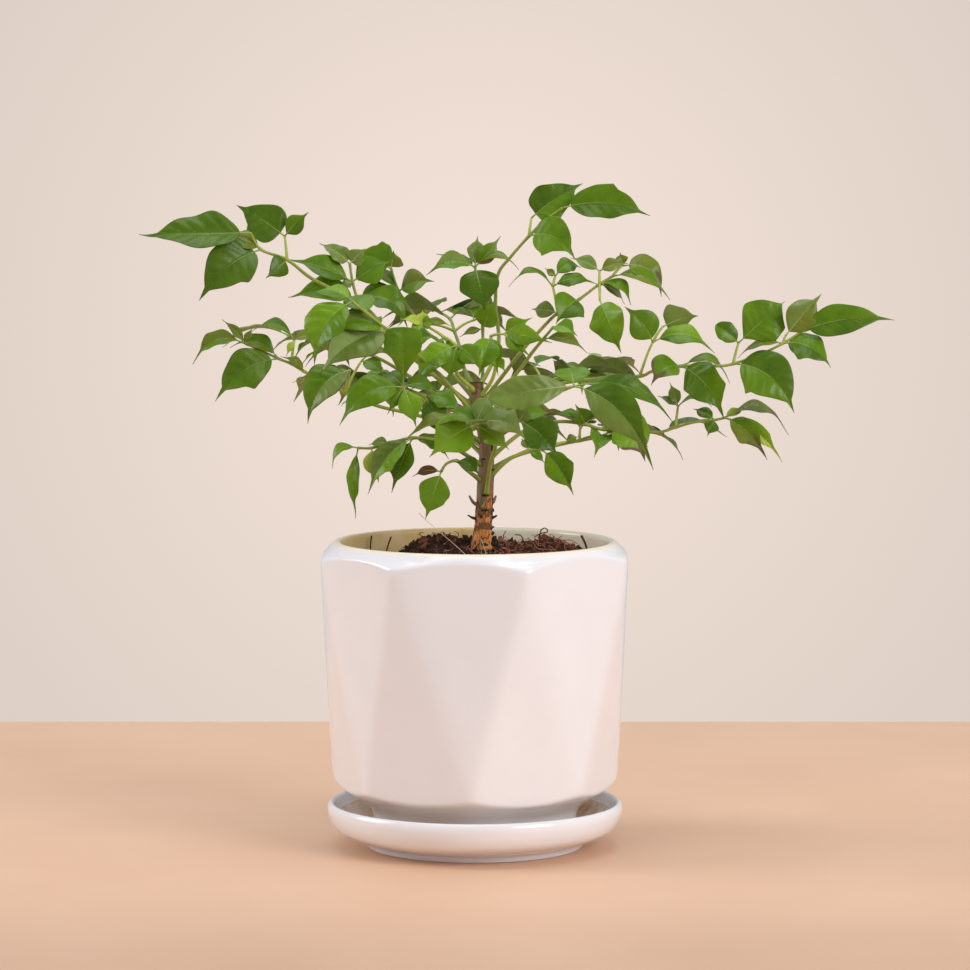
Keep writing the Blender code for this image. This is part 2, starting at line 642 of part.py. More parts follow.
def make_soil(parts, earth):
    """Soil that fills the pot, with a mound round the trunk and a flat pad under it."""
    chance = random.Random(5)
    slack = GAP + 0.35
    inside = cavity_profile()
    outer = inside[2][0] - slack
    middle = trunk_middle(TRUNK_FOOT).x
    shape = bmesh.new()
    rings = [polar_ring(shape, SOIL_PAD_RADIUS, SOIL_HEIGHT + SOIL_MOUND, centre=middle)]
    for radius in (13.0, 21.0, 30.0, 40.0, outer):
        mound = SOIL_MOUND / (1.0 + (radius / SOIL_MOUND_RADIUS) ** 3)
        centre = middle * (1.0 - radius / outer)
        rings.append(polar_ring(shape, radius, SOIL_HEIGHT + mound, 0.9, centre, chance))
    for radius, height in inside[3:5]:
        rings.append(polar_ring(shape, radius - slack, height + GAP))
    shape.faces.new(rings[0])
    shape.faces.new(list(reversed(rings[-1])))
    for upper, lower in zip(rings, rings[1:]):
        for k in range(SOIL_SIDES):
            following = (k + 1) % SOIL_SIDES
            shape.faces.new((upper[following], upper[k], lower[k], lower[following]))
    bmesh.ops.recalc_face_normals(shape, faces=shape.faces)
    mesh = bpy.data.meshes.new("soil")
    shape.to_mesh(mesh)
    shape.free()
    paint(new_object("soil", mesh, parts), earth)


def make_trunk(parts, bark):
    """The stem, lofted from a lobed root flare to the round flat cut at its top."""
    around = 12
    heights = (TRUNK_FOOT, 117.5, 120.0, 124.0, 131.0, 139.0, 147.0, 155.0, 162.0, 169.0, 175.0,
               TRUNK_TOP)
    shape = bmesh.new()
    rings = []
    for height in heights:
        middle = trunk_middle(height)
        radius = level(TRUNK_RADIUS, height)
        flare = max(0.0, 1.0 - (height - TRUNK_FOOT) / FLARE_HEIGHT)
        ring = []
        for k in range(around):
            angle = 2.0 * math.pi * k / around
            lobed = radius * (1.0 + FLARE_DEPTH * flare * math.cos(3.0 * angle + 0.8))
            ring.append(shape.verts.new(((middle.x + lobed * math.cos(angle)) * MM,
                                         (middle.y + lobed * math.sin(angle)) * MM, height * MM)))
        rings.append(ring)
    shape.faces.new(list(reversed(rings[0])))
    shape.faces.new(rings[-1])
    for lower, upper in zip(rings, rings[1:]):
        for k in range(around):
            following = (k + 1) % around
            shape.faces.new((lower[k], lower[following], upper[following], upper[k]))
    mesh = bpy.data.meshes.new("trunk")
    shape.to_mesh(mesh)
    shape.free()
    trunk = new_object("trunk", mesh, parts)
    paint(trunk, bark)
    return trunk


def tree_of(obj):
    """A search tree over an object's faces, in metres."""
    mesh = obj.data
    return BVHTree.FromPolygons([v.co for v in mesh.vertices], [p.vertices for p in mesh.polygons])


def leaf_tree(base, blade, swell):
    verts, faces = leaf_shape(base, blade, swell)
    return BVHTree.FromPolygons([v * MM for v in verts], faces)


def nudges():
    """Small turns that a leaflet tries before it is left out."""
    yield Matrix.Identity(3)
    for angle in (9.0, 18.0, 27.0):
        for axis in ("X", "Z", "Y"):
            for way in (1.0, -1.0):
                yield Matrix.Rotation(math.radians(angle * way), 3, axis)


def clear_leaf(base, blade, others):
    """The leaflet turned just enough to clear its neighbours, or nothing if it can't."""
    for turn in nudges():
        tried = dict(blade, reach=turn @ blade["reach"], faces=turn @ blade["faces"])
        space = leaf_tree(base, tried, CLEARANCE)
        if not any(space.overlap(other) for other in others):
            return tried
    return None


def make_twigs(plant, nodes, work):
    """The rachis beyond the petiole and its stalks, as closed meshes."""
    cut = plant["cut"]
    knots = rooted_path(plant)
    run = smooth_stretch(knots, cut + 1, len(knots) - 1, 9.0)
    start = way_through(knots, cut + 1)
    run[:1] = [run[0] + start * GAP, run[0] + start * (GAP + STRAIGHT_END)]
    run[-1] = run[-1] + (run[-1] - run[-2]).normalized() * TWIG_PAST_NODE
    name = "foliage_" + plant["name"]
    stem = limb_curve(name, run, taper(len(run), RACHIS_RADIUS, RACHIS_TIP_RADIUS), 0, work)
    twigs = [made_mesh(stem, work)]
    for index, (node, _, _, _) in enumerate(plant["stalks"]):
        end = nodes[len(plant["path"]) + index]
        past = (end - nodes[node]).normalized() * TWIG_PAST_NODE
        path = [nodes[node], end + past]
        stalk = limb_curve(name + "_stalk", path, [STALK_RADIUS, STALK_RADIUS * 0.8], 0, work)
        twigs.append(made_mesh(stalk, work))
    return twigs


def union(name, pieces, parts, work):
    """Fuse the pieces of one mass into a single closed mesh."""
    stem = pieces[0]
    group = bpy.data.collections.new(name + "_pieces")
    bpy.context.scene.collection.children.link(group)
    for piece in pieces[1:]:
        work.objects.unlink(piece)
        group.objects.link(piece)
    join = stem.modifiers.new("join", "BOOLEAN")
    join.operation = "UNION"
    join.operand_type = "COLLECTION"
    join.collection = group
    join.solver = "MANIFOLD"
    bpy.context.view_layer.update()
    mesh = bpy.data.meshes.new_from_object(stem.evaluated_get(bpy.context.evaluated_depsgraph_get()))
    for piece in pieces:
        bpy.data.objects.remove(piece)
    bpy.data.collections.remove(group)
    mesh.name = name
    keep_main_body(mesh)
    return new_object(name, mesh, parts)


def keep_main_body(mesh):
    """Drop loose scraps and fill sealed hollows: only the largest shell of faces stays."""
    shape = bmesh.new()
    shape.from_mesh(mesh)
    left = set(shape.faces)
    shells = []
    while left:
        shell = set()
        edge_of_shell = [left.pop()]
        while edge_of_shell:
            face = edge_of_shell.pop()
            shell.add(face)
            for edge in face.edges:
                for neighbour in edge.link_faces:
                    if neighbour in left:
                        left.remove(neighbour)
                        edge_of_shell.append(neighbour)
        shells.append(shell)
    main_shell = max(shells, key=lambda shell: sum(face.calc_area() for face in shell))
    spare = [face for shell in shells if shell is not main_shell for face in shell]
    bmesh.ops.delete(shape, geom=spare, context="FACES")
    shape.to_mesh(mesh)
    shape.free()


def make_fronds(parts, work, trunk, stem_green, leaf_green):
    plants = shown_fronds() + hidden_fronds()
    limbs = []
    for plant in plants:
        nodes = frond_nodes(plant)
        knots = rooted_path(plant)
        run = smooth_stretch(knots, 0, plant["cut"] + 1, 8.0)
        run.insert(-1, run[-1] - way_through(knots, plant["cut"] + 1) * STRAIGHT_END)
        petiole = limb_curve("petiole_" + plant["name"], run,
                             taper(len(run), PETIOLE_RADIUS, RACHIS_RADIUS), 1, parts)
        petiole = made_mesh(petiole, parts)
        paint(petiole, stem_green)
        twigs = make_twigs(plant, nodes, work)
        limbs.append((plant, nodes, petiole, twigs))
    trunk_tree = tree_of(trunk)
    petiole_trees = [tree_of(petiole) for _, _, petiole, _ in limbs]
    twig_trees = [[tree_of(twig) for twig in twigs] for _, _, _, twigs in limbs]
    leaf_trees = []
    for index, (plant, nodes, _, twigs) in enumerate(limbs):
        others = [trunk_tree] + petiole_trees + [tree for group in leaf_trees for tree in group]
        for other, group in enumerate(twig_trees):
            if other != index:
                others += group
        own = []
        pieces = list(twigs)
        for blade in plant["leaves"]:
            base = nodes[blade["node"]]
            settled = clear_leaf(base, blade, others)
            if settled is None:
                continue
            verts, faces = leaf_shape(base, settled)
            pieces.append(mesh_object("leaflet", verts, faces, work))
            own.append(leaf_tree(base, settled, 0.0))
        leaf_trees.append(own)
        mass = union("foliage_" + plant["name"], pieces, parts, work)
        paint(mass, leaf_green)


def new_collection(name):
    collection = bpy.data.collections.new(name)
    bpy.context.scene.collection.children.link(collection)
    return collection


def main():
    for obj in list(bpy.data.objects):
        bpy.data.objects.remove(obj)
    parts = new_collection("china_doll_plant")
    guides = new_collection("guides")
    work = new_collection("work")
    glaze = material("white_glaze", (0.86, 0.85, 0.83), 0.12)
    earth = material("potting_soil", (0.035, 0.02, 0.012), 0.95)
    bark = material("bark", (0.2, 0.13, 0.08), 0.85)
    stem_green = material("stem_green", (0.22, 0.3, 0.05), 0.45)
    leaf_green = material("leaf_green", (0.06, 0.16, 0.02), 0.35)
    make_saucer(parts, glaze)
    make_pot(parts, guides, glaze)
    make_soil(parts, earth)
    trunk = make_trunk(parts, bark)
    make_fronds(parts, work, trunk, stem_green, leaf_green)
    bpy.data.collections.remove(work)


main()
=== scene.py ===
"""The looks of a small china doll plant in a faceted white glazed pot, built round its frame.

Lengths are millimetres until a mesh is made. X runs to the right of the front, Y away from
the front and Z up. The origin is the centre of the saucer's flat underside.
"""

import math
import random

import bmesh
import bpy
import numpy as np
from mathutils import Euler, Matrix, Vector, noise


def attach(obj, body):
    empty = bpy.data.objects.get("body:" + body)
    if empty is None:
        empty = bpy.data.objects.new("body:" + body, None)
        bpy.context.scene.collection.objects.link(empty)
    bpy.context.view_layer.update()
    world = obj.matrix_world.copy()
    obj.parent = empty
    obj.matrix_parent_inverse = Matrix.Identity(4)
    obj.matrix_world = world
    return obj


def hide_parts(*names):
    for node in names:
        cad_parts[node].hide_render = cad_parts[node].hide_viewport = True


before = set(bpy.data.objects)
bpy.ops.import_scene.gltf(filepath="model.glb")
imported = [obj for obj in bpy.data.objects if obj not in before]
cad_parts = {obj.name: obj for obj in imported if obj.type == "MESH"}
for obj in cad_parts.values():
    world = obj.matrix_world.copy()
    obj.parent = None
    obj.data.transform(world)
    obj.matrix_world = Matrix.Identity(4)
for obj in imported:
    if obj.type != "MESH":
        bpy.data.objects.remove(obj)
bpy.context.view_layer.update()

MM = 0.001
UP = Vector((0.0, 0.0, 1.0))

# Pot
POT_TOP_ANGLES = (-72.5, -29.7, 19.0, 71.0, 112.0, 156.0, 201.0, 246.0)
POT_FOOT_ANGLES = (-92.0, -47.9, -1.8, 46.5, 90.0, 135.0, 180.0, 225.0)
POT_RIM_HEIGHT = 119.3
POT_LIP_RADIUS = 55.4
POT_BODY_RADIUS = 62.6
POT_FACET_TOP = 112.5
POT_FACET_BOTTOM = 26.5
POT_FACET_FOOT_RADIUS = 56.3
POT_FOOT_RADIUS = 39.0
POT_WALL = 3.6
POT_MOUTH = POT_LIP_RADIUS - POT_WALL
POT_FLOOR = 8.0
POT_STAND = 5.3
POT_AROUND = 320
FACET_SHARPNESS = 1.5
MOUTH_GLAZED_ROWS = 12

# Saucer
SAUCER_RADIUS = 57.6
SAUCER_HEIGHT = 17.4
SAUCER_FOOT_RADIUS = 42.0
SAUCER_FLOOR = 5.0
SAUCER_STAINED_ROWS = 27
SAUCER_AROUND = 192

# Soil
SOIL_HEIGHT = 109.0
SOIL_FOOT = 17.5
SOIL_MOUND = 6.7
SOIL_MOUND_RADIUS = 26.0
SOIL_AROUND = 96
CRUMBS = 2300
CRUMB_SEED = 41
FIBRES = 1200
FIBRE_SEED = 58

# Trunk: the middle of the stem and its thickness by height
TRUNK_FOOT = 116.0
TRUNK_TOP = 181.0
TRUNK_MIDDLE = ((116, 2.5), (125, 3.2), (135, 3.9), (155, 4.6), (168, 2.6), (181, 0.4))
TRUNK_RADIUS = ((116, 4.7), (119, 3.9), (125, 3.4), (145, 3.2), (156, 2.8), (181, 2.6))
TRUNK_ROWS = 170
TRUNK_AROUND = 96
FLARE_HEIGHT = 6.0
FLARE_DEPTH = 0.14
BITS_SEED = 77

# Limbs and leaves
PETIOLE_RADIUS = 0.84
RACHIS_RADIUS = 0.68
RACHIS_TIP_RADIUS = 0.46
STALK_RADIUS = 0.48
STALK_STEPS = 8
LEAF_STALK_SHARE = 0.09
LEAF_STALK_RADIUS = 0.4
LEAF_THICK = 0.24
LEAF_EDGE_THICK = 0.08
LEAF_TAIL = 0.7
MARGIN_SHARE = 0.95
LATERAL_VEINS = 7
VEIN_SLANT = 0.17
OUTLINE_WAVES = 2.6
OUTLINE_RIPPLE = 0.5
CURL_FROM = 0.7
TOOTH_SPREAD = 0.15
VEINED_LENGTH = 17.0
BROWN_TIPS = 0.35
BROWN_MARGINS = 0.1

# The way a blade's upper side looks: towards the front, half up, or up with its edge in view
FRONT = (0.0, -1.0, 0.3)
HALF = (0.0, -1.0, 1.0)
EDGE = (0.0, -0.4, 1.0)
LEFT = (-0.5, -1.0, 0.4)
RIGHT = (0.5, -1.0, 0.4)
UNDER = (0.0, -1.0, -0.3)

# Outlines by the fullness of the base and of the end, and the share before the drawn-out tip
FORMS = {
    "oval": (0.8, 1.02, 0.84),
    "wedge": (1.05, 1.1, 0.83),
    "round": (0.6, 1.0, 0.85),
    "square": (0.4, 1.05, 0.88),
    "blunt": (0.75, 0.62, 0.99),
    "lance": (1.05, 1.3, 0.82),
    "broad": (0.72, 0.95, 0.88),
    "rhomb": (1.35, 1.3, 0.95),
    "spoon": (1.5, 0.4, 1.0),
}
COMMON_FORMS = ("oval", "wedge", "wedge", "lance", "lance")

# A leaf's tone is a letter for the whole blade, or one for the half on each side of its midrib, and
# a letter after a stroke gives the end of the blade. Each has its name, two colours and roughness.
# The letter s is painted sheen, the grey-green reflection of a glossy blade, and l is a pale
# painted highlight of gloss. Halves with different letters paint the shade on one side of a
# folded blade and the gloss or sheen on the other.
TONES = {
    "g": ("green", (80, 118, 6), (98, 134, 16), 0.29),
    "d": ("deep", (66, 98, 4), (82, 114, 10), 0.29),
    "b": ("bright", (102, 142, 16), (118, 156, 28), 0.29),
    "y": ("young", (150, 172, 44), (172, 190, 70), 0.29),
    "o": ("olive", (98, 112, 26), (112, 126, 38), 0.29),
    # s and l: painted sheen and a painted highlight, the grey-green reflection and pale gloss of a blade
    "s": ("painted_sheen", (98, 120, 44), (114, 136, 60), 0.29),
    "l": ("light", (132, 156, 84), (150, 174, 104), 0.29),
    "n": ("dead", (70, 44, 26), (112, 78, 48), 0.6),
    "p": ("tip", (84, 72, 44), (110, 98, 64), 0.5),
    "u": ("under", (126, 150, 80), (144, 168, 98), 0.45),
}
TONE_LETTERS = "".join(TONES)
COMMON_TONES = "ggggggdddbbso"

# The compound leaves that show from the front. Each has its name, the height of its root on the
# trunk, the number of the knot that ends its petiole, its knots, its stalks as (node, right, away,
# up) and its leaflets, whose rows are what leaf() takes.
SHOWN_FRONDS = (
    ("left_high", 171, 3,
     [(-18, 4, 185), (-37, 8, 201), (-50, 10, 213), (-64, 10, 221), (-73, 9, 228), (-83, 7, 232),
      (-87, 5, 238.5)],
     [(4, -1, 3, 9)],
     [(7, -19, 5, 12, 16, "dd", "square", FRONT, 0.02, 0.2, 0.05),
      (7, 9.5, -3, 9.5, 8, "gd", "wedge", FRONT, 0.02, 0.35, 0.05),
      (4, -8, -6, -7, 9, "d", "square", UNDER, 0.0, 0.1, 0.05),
      (5, -15, 0, 4.5, 9, "o", "oval", HALF, 0.05, 0.2),
      (5, -23.5, -9, -19.5, 18.5, "dd", "round", FRONT, 0.09),
      (6, -42.9, -2, -0.5, 18.5, "dd", "round", HALF, -0.04, 0.45, 0.05)]),
    ("left_mid", 158, 2,
     [(-10, -5, 165), (-25, -4, 169), (-38, -3, 172), (-50, -2, 177), (-66, 0, 185), (-71, 0, 188),
      (-76, 0, 190), (-89, 0, 196)],
     [(3, 2, -7, 9), (3, 6, 3, 12), (5, 1, 2, 9)],
     [(8, -16, -8, -20, 16, "sg", "round", LEFT, 0.16, 0.5, 0.12),
      (8, -6, -2, -5, 7, "s", "oval", EDGE, 0.1, 0.2),
      (9, 15, 2, -1, 7, "go", "lance", EDGE, 0.1, 0.3, 0.22),
      (9, 9, -5, -5, 7, "g", "oval", HALF, 0.05),
      (10, -17, -1, 3, 10, "gd", "lance", EDGE, 0.08, 0.3, 0.24),
      (10, 8, 3, 1, 5, "o", "oval", HALF, 0.05, 0.4),
      (10, -3, -3, -6, 3, "y", "lance", FRONT, 0.0, 0.2),
      (4, -9, -3, 6, 5, "o", "lance", HALF, 0.05, 0.4),
      (6, -19, 5, 4, 8, "og", "lance", HALF, 0.14, 0.4, 0.12),
      (6, -24, -8, -16, 15, "gg", "oval", FRONT, 0.12, 0.25),
      (7, -20, -3, -8, 8, "go", "lance", HALF, 0.16, 0.4, 0.14),
      (7, 3, 1, 6, 3, "o", "lance", FRONT, 0.0, 0.4),
      (7, -9, 3, 9, 4, "o", "lance", HALF, 0.0, 0.4)]),
    ("left_top", 174, 2,
     [(-12, 11, 186), (-30, 17, 197), (-43, 20, 204), (-46, 21, 212), (-48, 21, 219), (-49, 21, 226)],
     [],
     [(3, -27, -3, 1, 13, "gg", "oval", HALF, 0.04, 0.5),
      (3, 20, -3, -12, 12, "gd", "oval", HALF, 0.16, 0.3, 0.2),
      (4, -25, -3, 9, 12, "dg", "lance", HALF, -0.02, 0.45),
      (4, 15, 3, 8, 12, "gg", "wedge", FRONT, 0.02),
      (4, -5, -2, -2, 4, "s", "oval"),
      (5, -12, 4, 8, 8, "s", "square", HALF),
      (5, 6, 3, 6, 8, "s", "square", FRONT, 0.0, 0.2),
      (3, 18, 6, 0, 9, "d", "oval", HALF, 0.1, 0.3, 0.12)]),
    ("left_top_back", 178, 1,
     [(-8, 16, 191), (-20, 24, 200), (-25, 25, 207), (-30, 26, 215), (-33, 26, 224)],
     [],
     [(3, 14, -3, 4, 13, "og", "wedge", HALF, 0.05, 0.35),
      (3, -16, 4, 4, 9, "d", "oval", EDGE, 0.1, 0.2, 0.2),
      (4, -14, 3, 7, 15, "g", "square", FRONT, 0.0, 0.2, 0.05, ((0.45, 1, 0.3),)),
      (4, 1, 2, 7, 9, "o", "square", FRONT, 0.0, 0.2, 0.05)]),
    ("young", 178, 1,
     [(-7, -9, 185), (-8, -11, 193), (-12, -12, 199), (-20, -13, 204)],
     [(2, 5, -6, -3)],
     [(3, -8, -2, 2, 5, "y", "oval", HALF),
      (3, -5, -4, -4, 5, "b", "oval"),
      (3, 0, 2, 5, 5, "y", "oval"),
      (3, 5, -2, 1, 5, "b", "round"),
      (3, 11, 3, -1, 4, "o", "lance", HALF, 0.05, 0.4),
      (2, -3, -2, -6, 3, "b", "lance"),
      (4, 9, -2, -9, 9, "g", "wedge", FRONT, 0.1, 0.3, 0.1, ((0.6, -1, 0.3),)),
      (4, -15, -3, -14, 11, "gb", "broad", LEFT, 0.1),
      (4, -3, -2, -13, 10, "g", "wedge"),
      (4, 3, 4, -9, 8, "d", "wedge"),
      (1, -4, -4, 6, 5, "b", "lance")]),
    ("centre_top", 173, 0,
     [(3, 9, 185), (3, 11, 201), (2, 12, 213), (0, 12, 225)],
     [],
     [(1, 5, -5, 12, 9, "b", "oval"),
      (1, -9, -2, -3, 4, "o", "lance", HALF),
      (3, -15, 3, 5, 5, "s", "wedge", HALF, 0.0, 0.4),
      (3, 1, 4, 12, 7, "s", "wedge", FRONT, 0.0, 0.4),
      (3, 10, 2, 12, 7, "gs", "lance", RIGHT, 0.0, 0.4),
      (3, 17, -2, -1, 8, "so", "lance", EDGE, 0.1, 0.3, 0.22),
      (3, -12, 6, 2, 8, "g", "oval", EDGE),
      (3, -19, -5, -3, 9, "gs", "lance", HALF, 0.1, 0.4),
      (3, 4, -8, -17, 16, "dd", "round", FRONT, 0.02, 0.15, 0.1, (), 0.02)]),
    ("centre", 176, 1,
     [(7, -6, 183), (8, -7, 191), (6, -7, 199)],
     [(2, 5, -4, 1)],
     [(3, 11, -3, 6.5, 7.5, "b", "lance"),
      (3, 18.5, -7, -3, 8, "bg", "lance", FRONT, 0.02),
      (3, 10.5, -6, -8.5, 6.5, "bg", "lance"),
      (2, -4.5, -7, -15, 11, "gb", "oval", FRONT, 0.0, 0.35, 0.12),
      (2, 3, -5, -15, 7, "b", "oval", FRONT, 0.0, 0.35, 0.12),
      (1, 4, -6, -6, 4, "b", "lance")]),
    ("top", 179, 2,
     [(9, 12, 194), (8, 17, 210), (9, 17, 222), (14, 16, 229), (21, 14, 237), (27, 13, 243),
      (34, 12, 248)],
     [(4, 1, 2, 7)],
     [(7, 20, 2, 13.4, 15.5, "dg", "square", FRONT, 0.03, 0.3, 0.08, ((0.72, 1, 0.2),)),
      (4, 18, -8, -9, 16, "gg", "round", FRONT, 0.18, 0.2),
      (6, 34, -2, -3, 13.5, "gd", "broad", FRONT, 0.08, 0.35, 0.06, ((0.5, -1, 0.22),))]),
    ("right_top", 174, 1,
     [(18, -3, 193), (25, -4, 201), (32, -5, 208), (40, -5, 213), (48, -5, 219), (53, -5, 222)],
     [(2, -2, 2, 10), (6, 1, 1, 4), (4, 0, 1, 5), (4, 0, -5, -6), (5, 4, 3, 4)],
     [(6, -17, -3, 0, 6, "gd", "lance", EDGE, 0.1, 0.3, 0.26),
      (6, 17, -3, 1, 7, "gd", "lance", HALF, 0.06, 0.3, 0.12),
      (7, -4, 0, 3, 3, "o", "oval"),
      (7, 10, 5, 3, 8, "g", "oval", HALF, 0.1, 0.3, 0.2),
      (2, -10, 6, 1, 7, "s", "wedge"),
      (3, -9, -9, -9, 13, "dg", "oval", FRONT, 0.08),
      (8, -11, 2, 5, 7, "s", "wedge", HALF, 0.0, 0.4),
      (8, 11, 1, 3, 7, "o", "wedge", HALF, 0.0, 0.4),
      (4, 12, -4, -8, 8, "g", "oval", EDGE, 0.2),
      (9, 8, -7, -20, 14, "bg", "oval", LEFT, 0.1, 0.3, 0.12),
      (4, 10, 7, -8, 6, "s", "lance", HALF, 0.05),
      (5, 22, -2, -9, 7, "go", "lance", HALF, 0.14, 0.4, 0.08),
      (10, 15, 1, -12, 12, "oo/p", "square", HALF, 0.26, 0.2),
      (10, -1, 1, 5, 5, "o", "wedge", FRONT, 0.0, 0.4)]),
    ("right_second", 170, 1,
     [(17, -9, 186), (22, -12, 193), (26, -14, 198), (30, -16, 203)],
     [],
     [(2, 17, -3, -5, 6, "o", "lance", HALF, 0.1, 0.4),
      (3, 9, -7, -3, 8, "gb", "oval", HALF, 0.05)]),
    ("right_long", 168, 1,
     [(25, 6, 178), (48, 6, 182), (64, 4, 183), (69, 3, 185), (80, 2, 187), (93, 1, 187),
      (100, 0, 188), (111, -1, 192), (119, -2, 196), (126, -2, 200.5)],
     [(2, 5, 2, 13), (10, 4, 2, 6), (6, 2, 1, 8), (8, 1, 0, 3)],
     [(10, -11, -3, 14, 13, "gg", "oval", FRONT, 0.1, 0.25, 0.08),
      (11, 14, 4, 4, 13, "s", "square", UNDER, 0.08, 0.1, 0.06),
      (10, 24, -4, -4, 11, "bg", "lance", HALF, 0.14),
      (4, -12, -7, -7, 13, "gg/p", "wedge", HALF, 0.14, 0.3, 0.08),
      (4, 19, 4, -7, 8, "go", "lance", EDGE, 0.2),
      (4, 16, -10, -20, 15, "gd", "oval", LEFT, 0.18, 0.3, 0.1, ((0.6, -1, 0.15),)),
      (12, -9, -1, 7, 8, "gd", "blunt", FRONT, 0.04, 0.3, 0.06),
      (12, 18, 2, 16, 18.5, "gg", "rhomb", FRONT, 0.0, 0.2, 0.06, ((0.7, 1, 0.12),)),
      (6, 23, -9, -18.5, 19, "dg", "broad", FRONT, 0.18, 0.25, 0.1, ((0.3, 1, 0.22),)),
      (8, -17, 5, -6, 8, "o", "oval", EDGE, 0.06),
      (13, 14, 3, 16, 13, "so", "wedge", RIGHT, 0.04, 0.4, 0.08),
      (8, 18, -6, -9, 14, "gd", "broad", HALF, 0.12, 0.25, 0.08),
      (9, 35.9, -1, 4.5, 12.5, "gd", "round", FRONT, 0.06, 0.35, 0.06)]),
    ("right_low", 152, 1,
     [(20, 7, 162), (32, 8, 165), (43, 8, 164), (50, 8, 162), (70, 6, 161), (78, 5, 163), (85, 4, 165),
      (93, 3, 166), (97, 2, 167)],
     [(3, 1, 2, 5), (5, 1, 2, 8), (3, 3, -2, 3)],
     [(2, -13, 4, 3, 7, "g", "oval", EDGE, 0.06, 0.3, 0.16),
      (2, -4, -3, 8, 8, "d", "wedge", FRONT, 0.0, 0.4),
      (9, -5, -1, 2, 3, "l", "oval", HALF),
      (9, 6, 3, 3, 4, "s", "oval", HALF),
      (11, 13, -5, -15, 16, "bb/p", "round", FRONT, 0.2, 0.2),
      (10, -8, 1, 4, 4, "s", "lance", HALF, 0.0, 0.4),
      (10, -3, 4, 9, 5, "s", "lance", FRONT, 0.0, 0.4),
      (10, 13, -3, 0, 5, "gs", "lance", EDGE, 0.08, 0.3, 0.2),
      (7, -3, -4, -6, 6, "d", "wedge"),
      (7, -8, 5, 4, 6, "d", "wedge", HALF),
      (8, 16, -6, -16, 9, "go/p", "lance", LEFT, 0.14, 0.4),
      (8, 25, 3, -7, 9, "oo/p", "lance", EDGE, 0.2),
      (8, 22, -3, -17, 7, "by", "lance", LEFT, 0.14, 0.4),
      (8, 8, 5, 3, 4, "y", "oval", HALF)]),
    ("front_right", 165, 2,
     [(13, -20, 172), (24, -37, 177), (33, -52, 181), (37, -60, 183)],
     [],
     [(3, -32, -6, -4.5, 12.5, "ss", "blunt", FRONT, 0.0, 0.25, 0.08),
      (3, 29, -15.6, -30, 16, "ds", "lance", LEFT, 0.2, 0.35, 0.08),
      (3, 38, 6, -15, 9, "d", "lance", HALF, 0.12, 0.3, 0.08),
      (3, -2, 13, 6, 14, "g", "oval", EDGE, 0.04, 0.2)]),
    ("front_centre", 138, 2,
     [(6, -11, 150), (8, -18, 158), (6, -29, 164), (0, -40, 167)],
     [],
     [(3, -17, -8, -11.5, 16, "b", "round", FRONT, 0.06, 0.2, 0.08),
      (3, -27, -1, -7, 9, "o", "oval", EDGE, 0.1),
      (3, 20, -6, -6, 12, "so", "oval", HALF, 0.14),
      (3, 13, 2, -9.5, 9, "b", "wedge", FRONT, 0.05),
      (3, 9, 6, 3, 9, "d", "oval", HALF, 0.04),
      (3, 6, 8, 12, 8, "s", "lance"),
      (3, -9, 6, 5, 9, "g", "oval", HALF, 0.04),
      (3, -3, -16, 1, 12, "s", "oval", EDGE, 0.02, 0.2)]),
    ("right_front_low", 158, 0,
     [(13, -10, 163), (17, -17, 167)],
     [],
     [(1, 15, -6, -14, 14, "d", "wedge", FRONT, 0.1, 0.25, 0.08),
      (1, 4, -2, 6, 7, "s", "wedge", FRONT, 0.0, 0.3, 0.08),
      (1, 12, 3, 3, 7, "g", "oval", HALF, 0.04)]),
    ("front_left", 167, 1,
     [(-14, -15, 185), (-25, -29, 196), (-33, -38, 203), (-40, -43, 209), (-46, -45, 214)],
     [],
     [(4, -14, -6, -24, 17, "gb", "oval", LEFT, 0.14, 0.45, 0.12),
      (2, -22, -5, -1, 13, "gs", "oval", HALF, 0.1, 0.3, 0.12),
      (2, -25, -11, -16, 20, "sl", "round", LEFT, 0.05, 0.35),
      (3, -9, 12, 6, 13, "g", "oval", EDGE, 0.04, 0.2),
      (4, -16, 8, 2, 12, "gb", "oval", EDGE, 0.06, 0.2),
      (1, 11, -6, 4, 9, "dg", "oval", HALF, 0.06)]),
    ("left_front_mid", 163, 1,
     [(-10, -16, 172), (-19, -26, 177), (-27, -34, 181)],
     [],
     [(2, 0, -3, 23, 15, "gg", "spoon", FRONT, 0.0, 0.2, 0.08),
      (2, -24, -7, -14, 15, "gg", "round", HALF, 0.14),
      (2, 5, -7, -15, 9, "b", "wedge", FRONT, 0.06),
      (2, 13, 5, -2, 8, "d", "oval", HALF, 0.08),
      (2, -6, -4, -10, 5, "g", "lance"),
      (2, -9, 7, 4, 9, "d", "oval", HALF, 0.08),
      (1, 14, -4, -7, 9, "g", "oval", HALF, 0.1, 0.3, 0.12),
      (1, 7, -6, -16, 10, "gd", "wedge", FRONT, 0.08)]),
    ("left_low", 149, 1,
     [(-8, -7, 156), (-15, -9, 159), (-24, -10, 160), (-33, -10, 158), (-40, -9, 156), (-45, -8, 156)],
     [],
     [(5, -10, -1, -8, 7, "b", "lance", EDGE, 0.24, 0.4, 0.12),
      (5, -1, -3, -27, 5.5, "gb", "lance", LEFT, 0.0, 0.4),
      (4, 3, -4, -13, 9, "by", "wedge", FRONT, 0.0, 0.3, 0.1, ((0.6, -1, 0.3),)),
      (3, -8, 3, -1, 5, "s", "oval", HALF),
      (2, -17, -7, -21, 11, "bs", "wedge", LEFT, 0.1, 0.4, 0.08, ((0.55, -1, 0.3),)),
      (2, -8, -3, -21, 9, "gd", "lance", FRONT, 0.06, 0.3, 0.08, ((0.35, 1, 0.2), (0.6, 1, 0.2))),
      (2, 14, 4, -8.5, 7, "d", "oval", HALF, 0.08)]),
    ("low_drop", 143, 0,
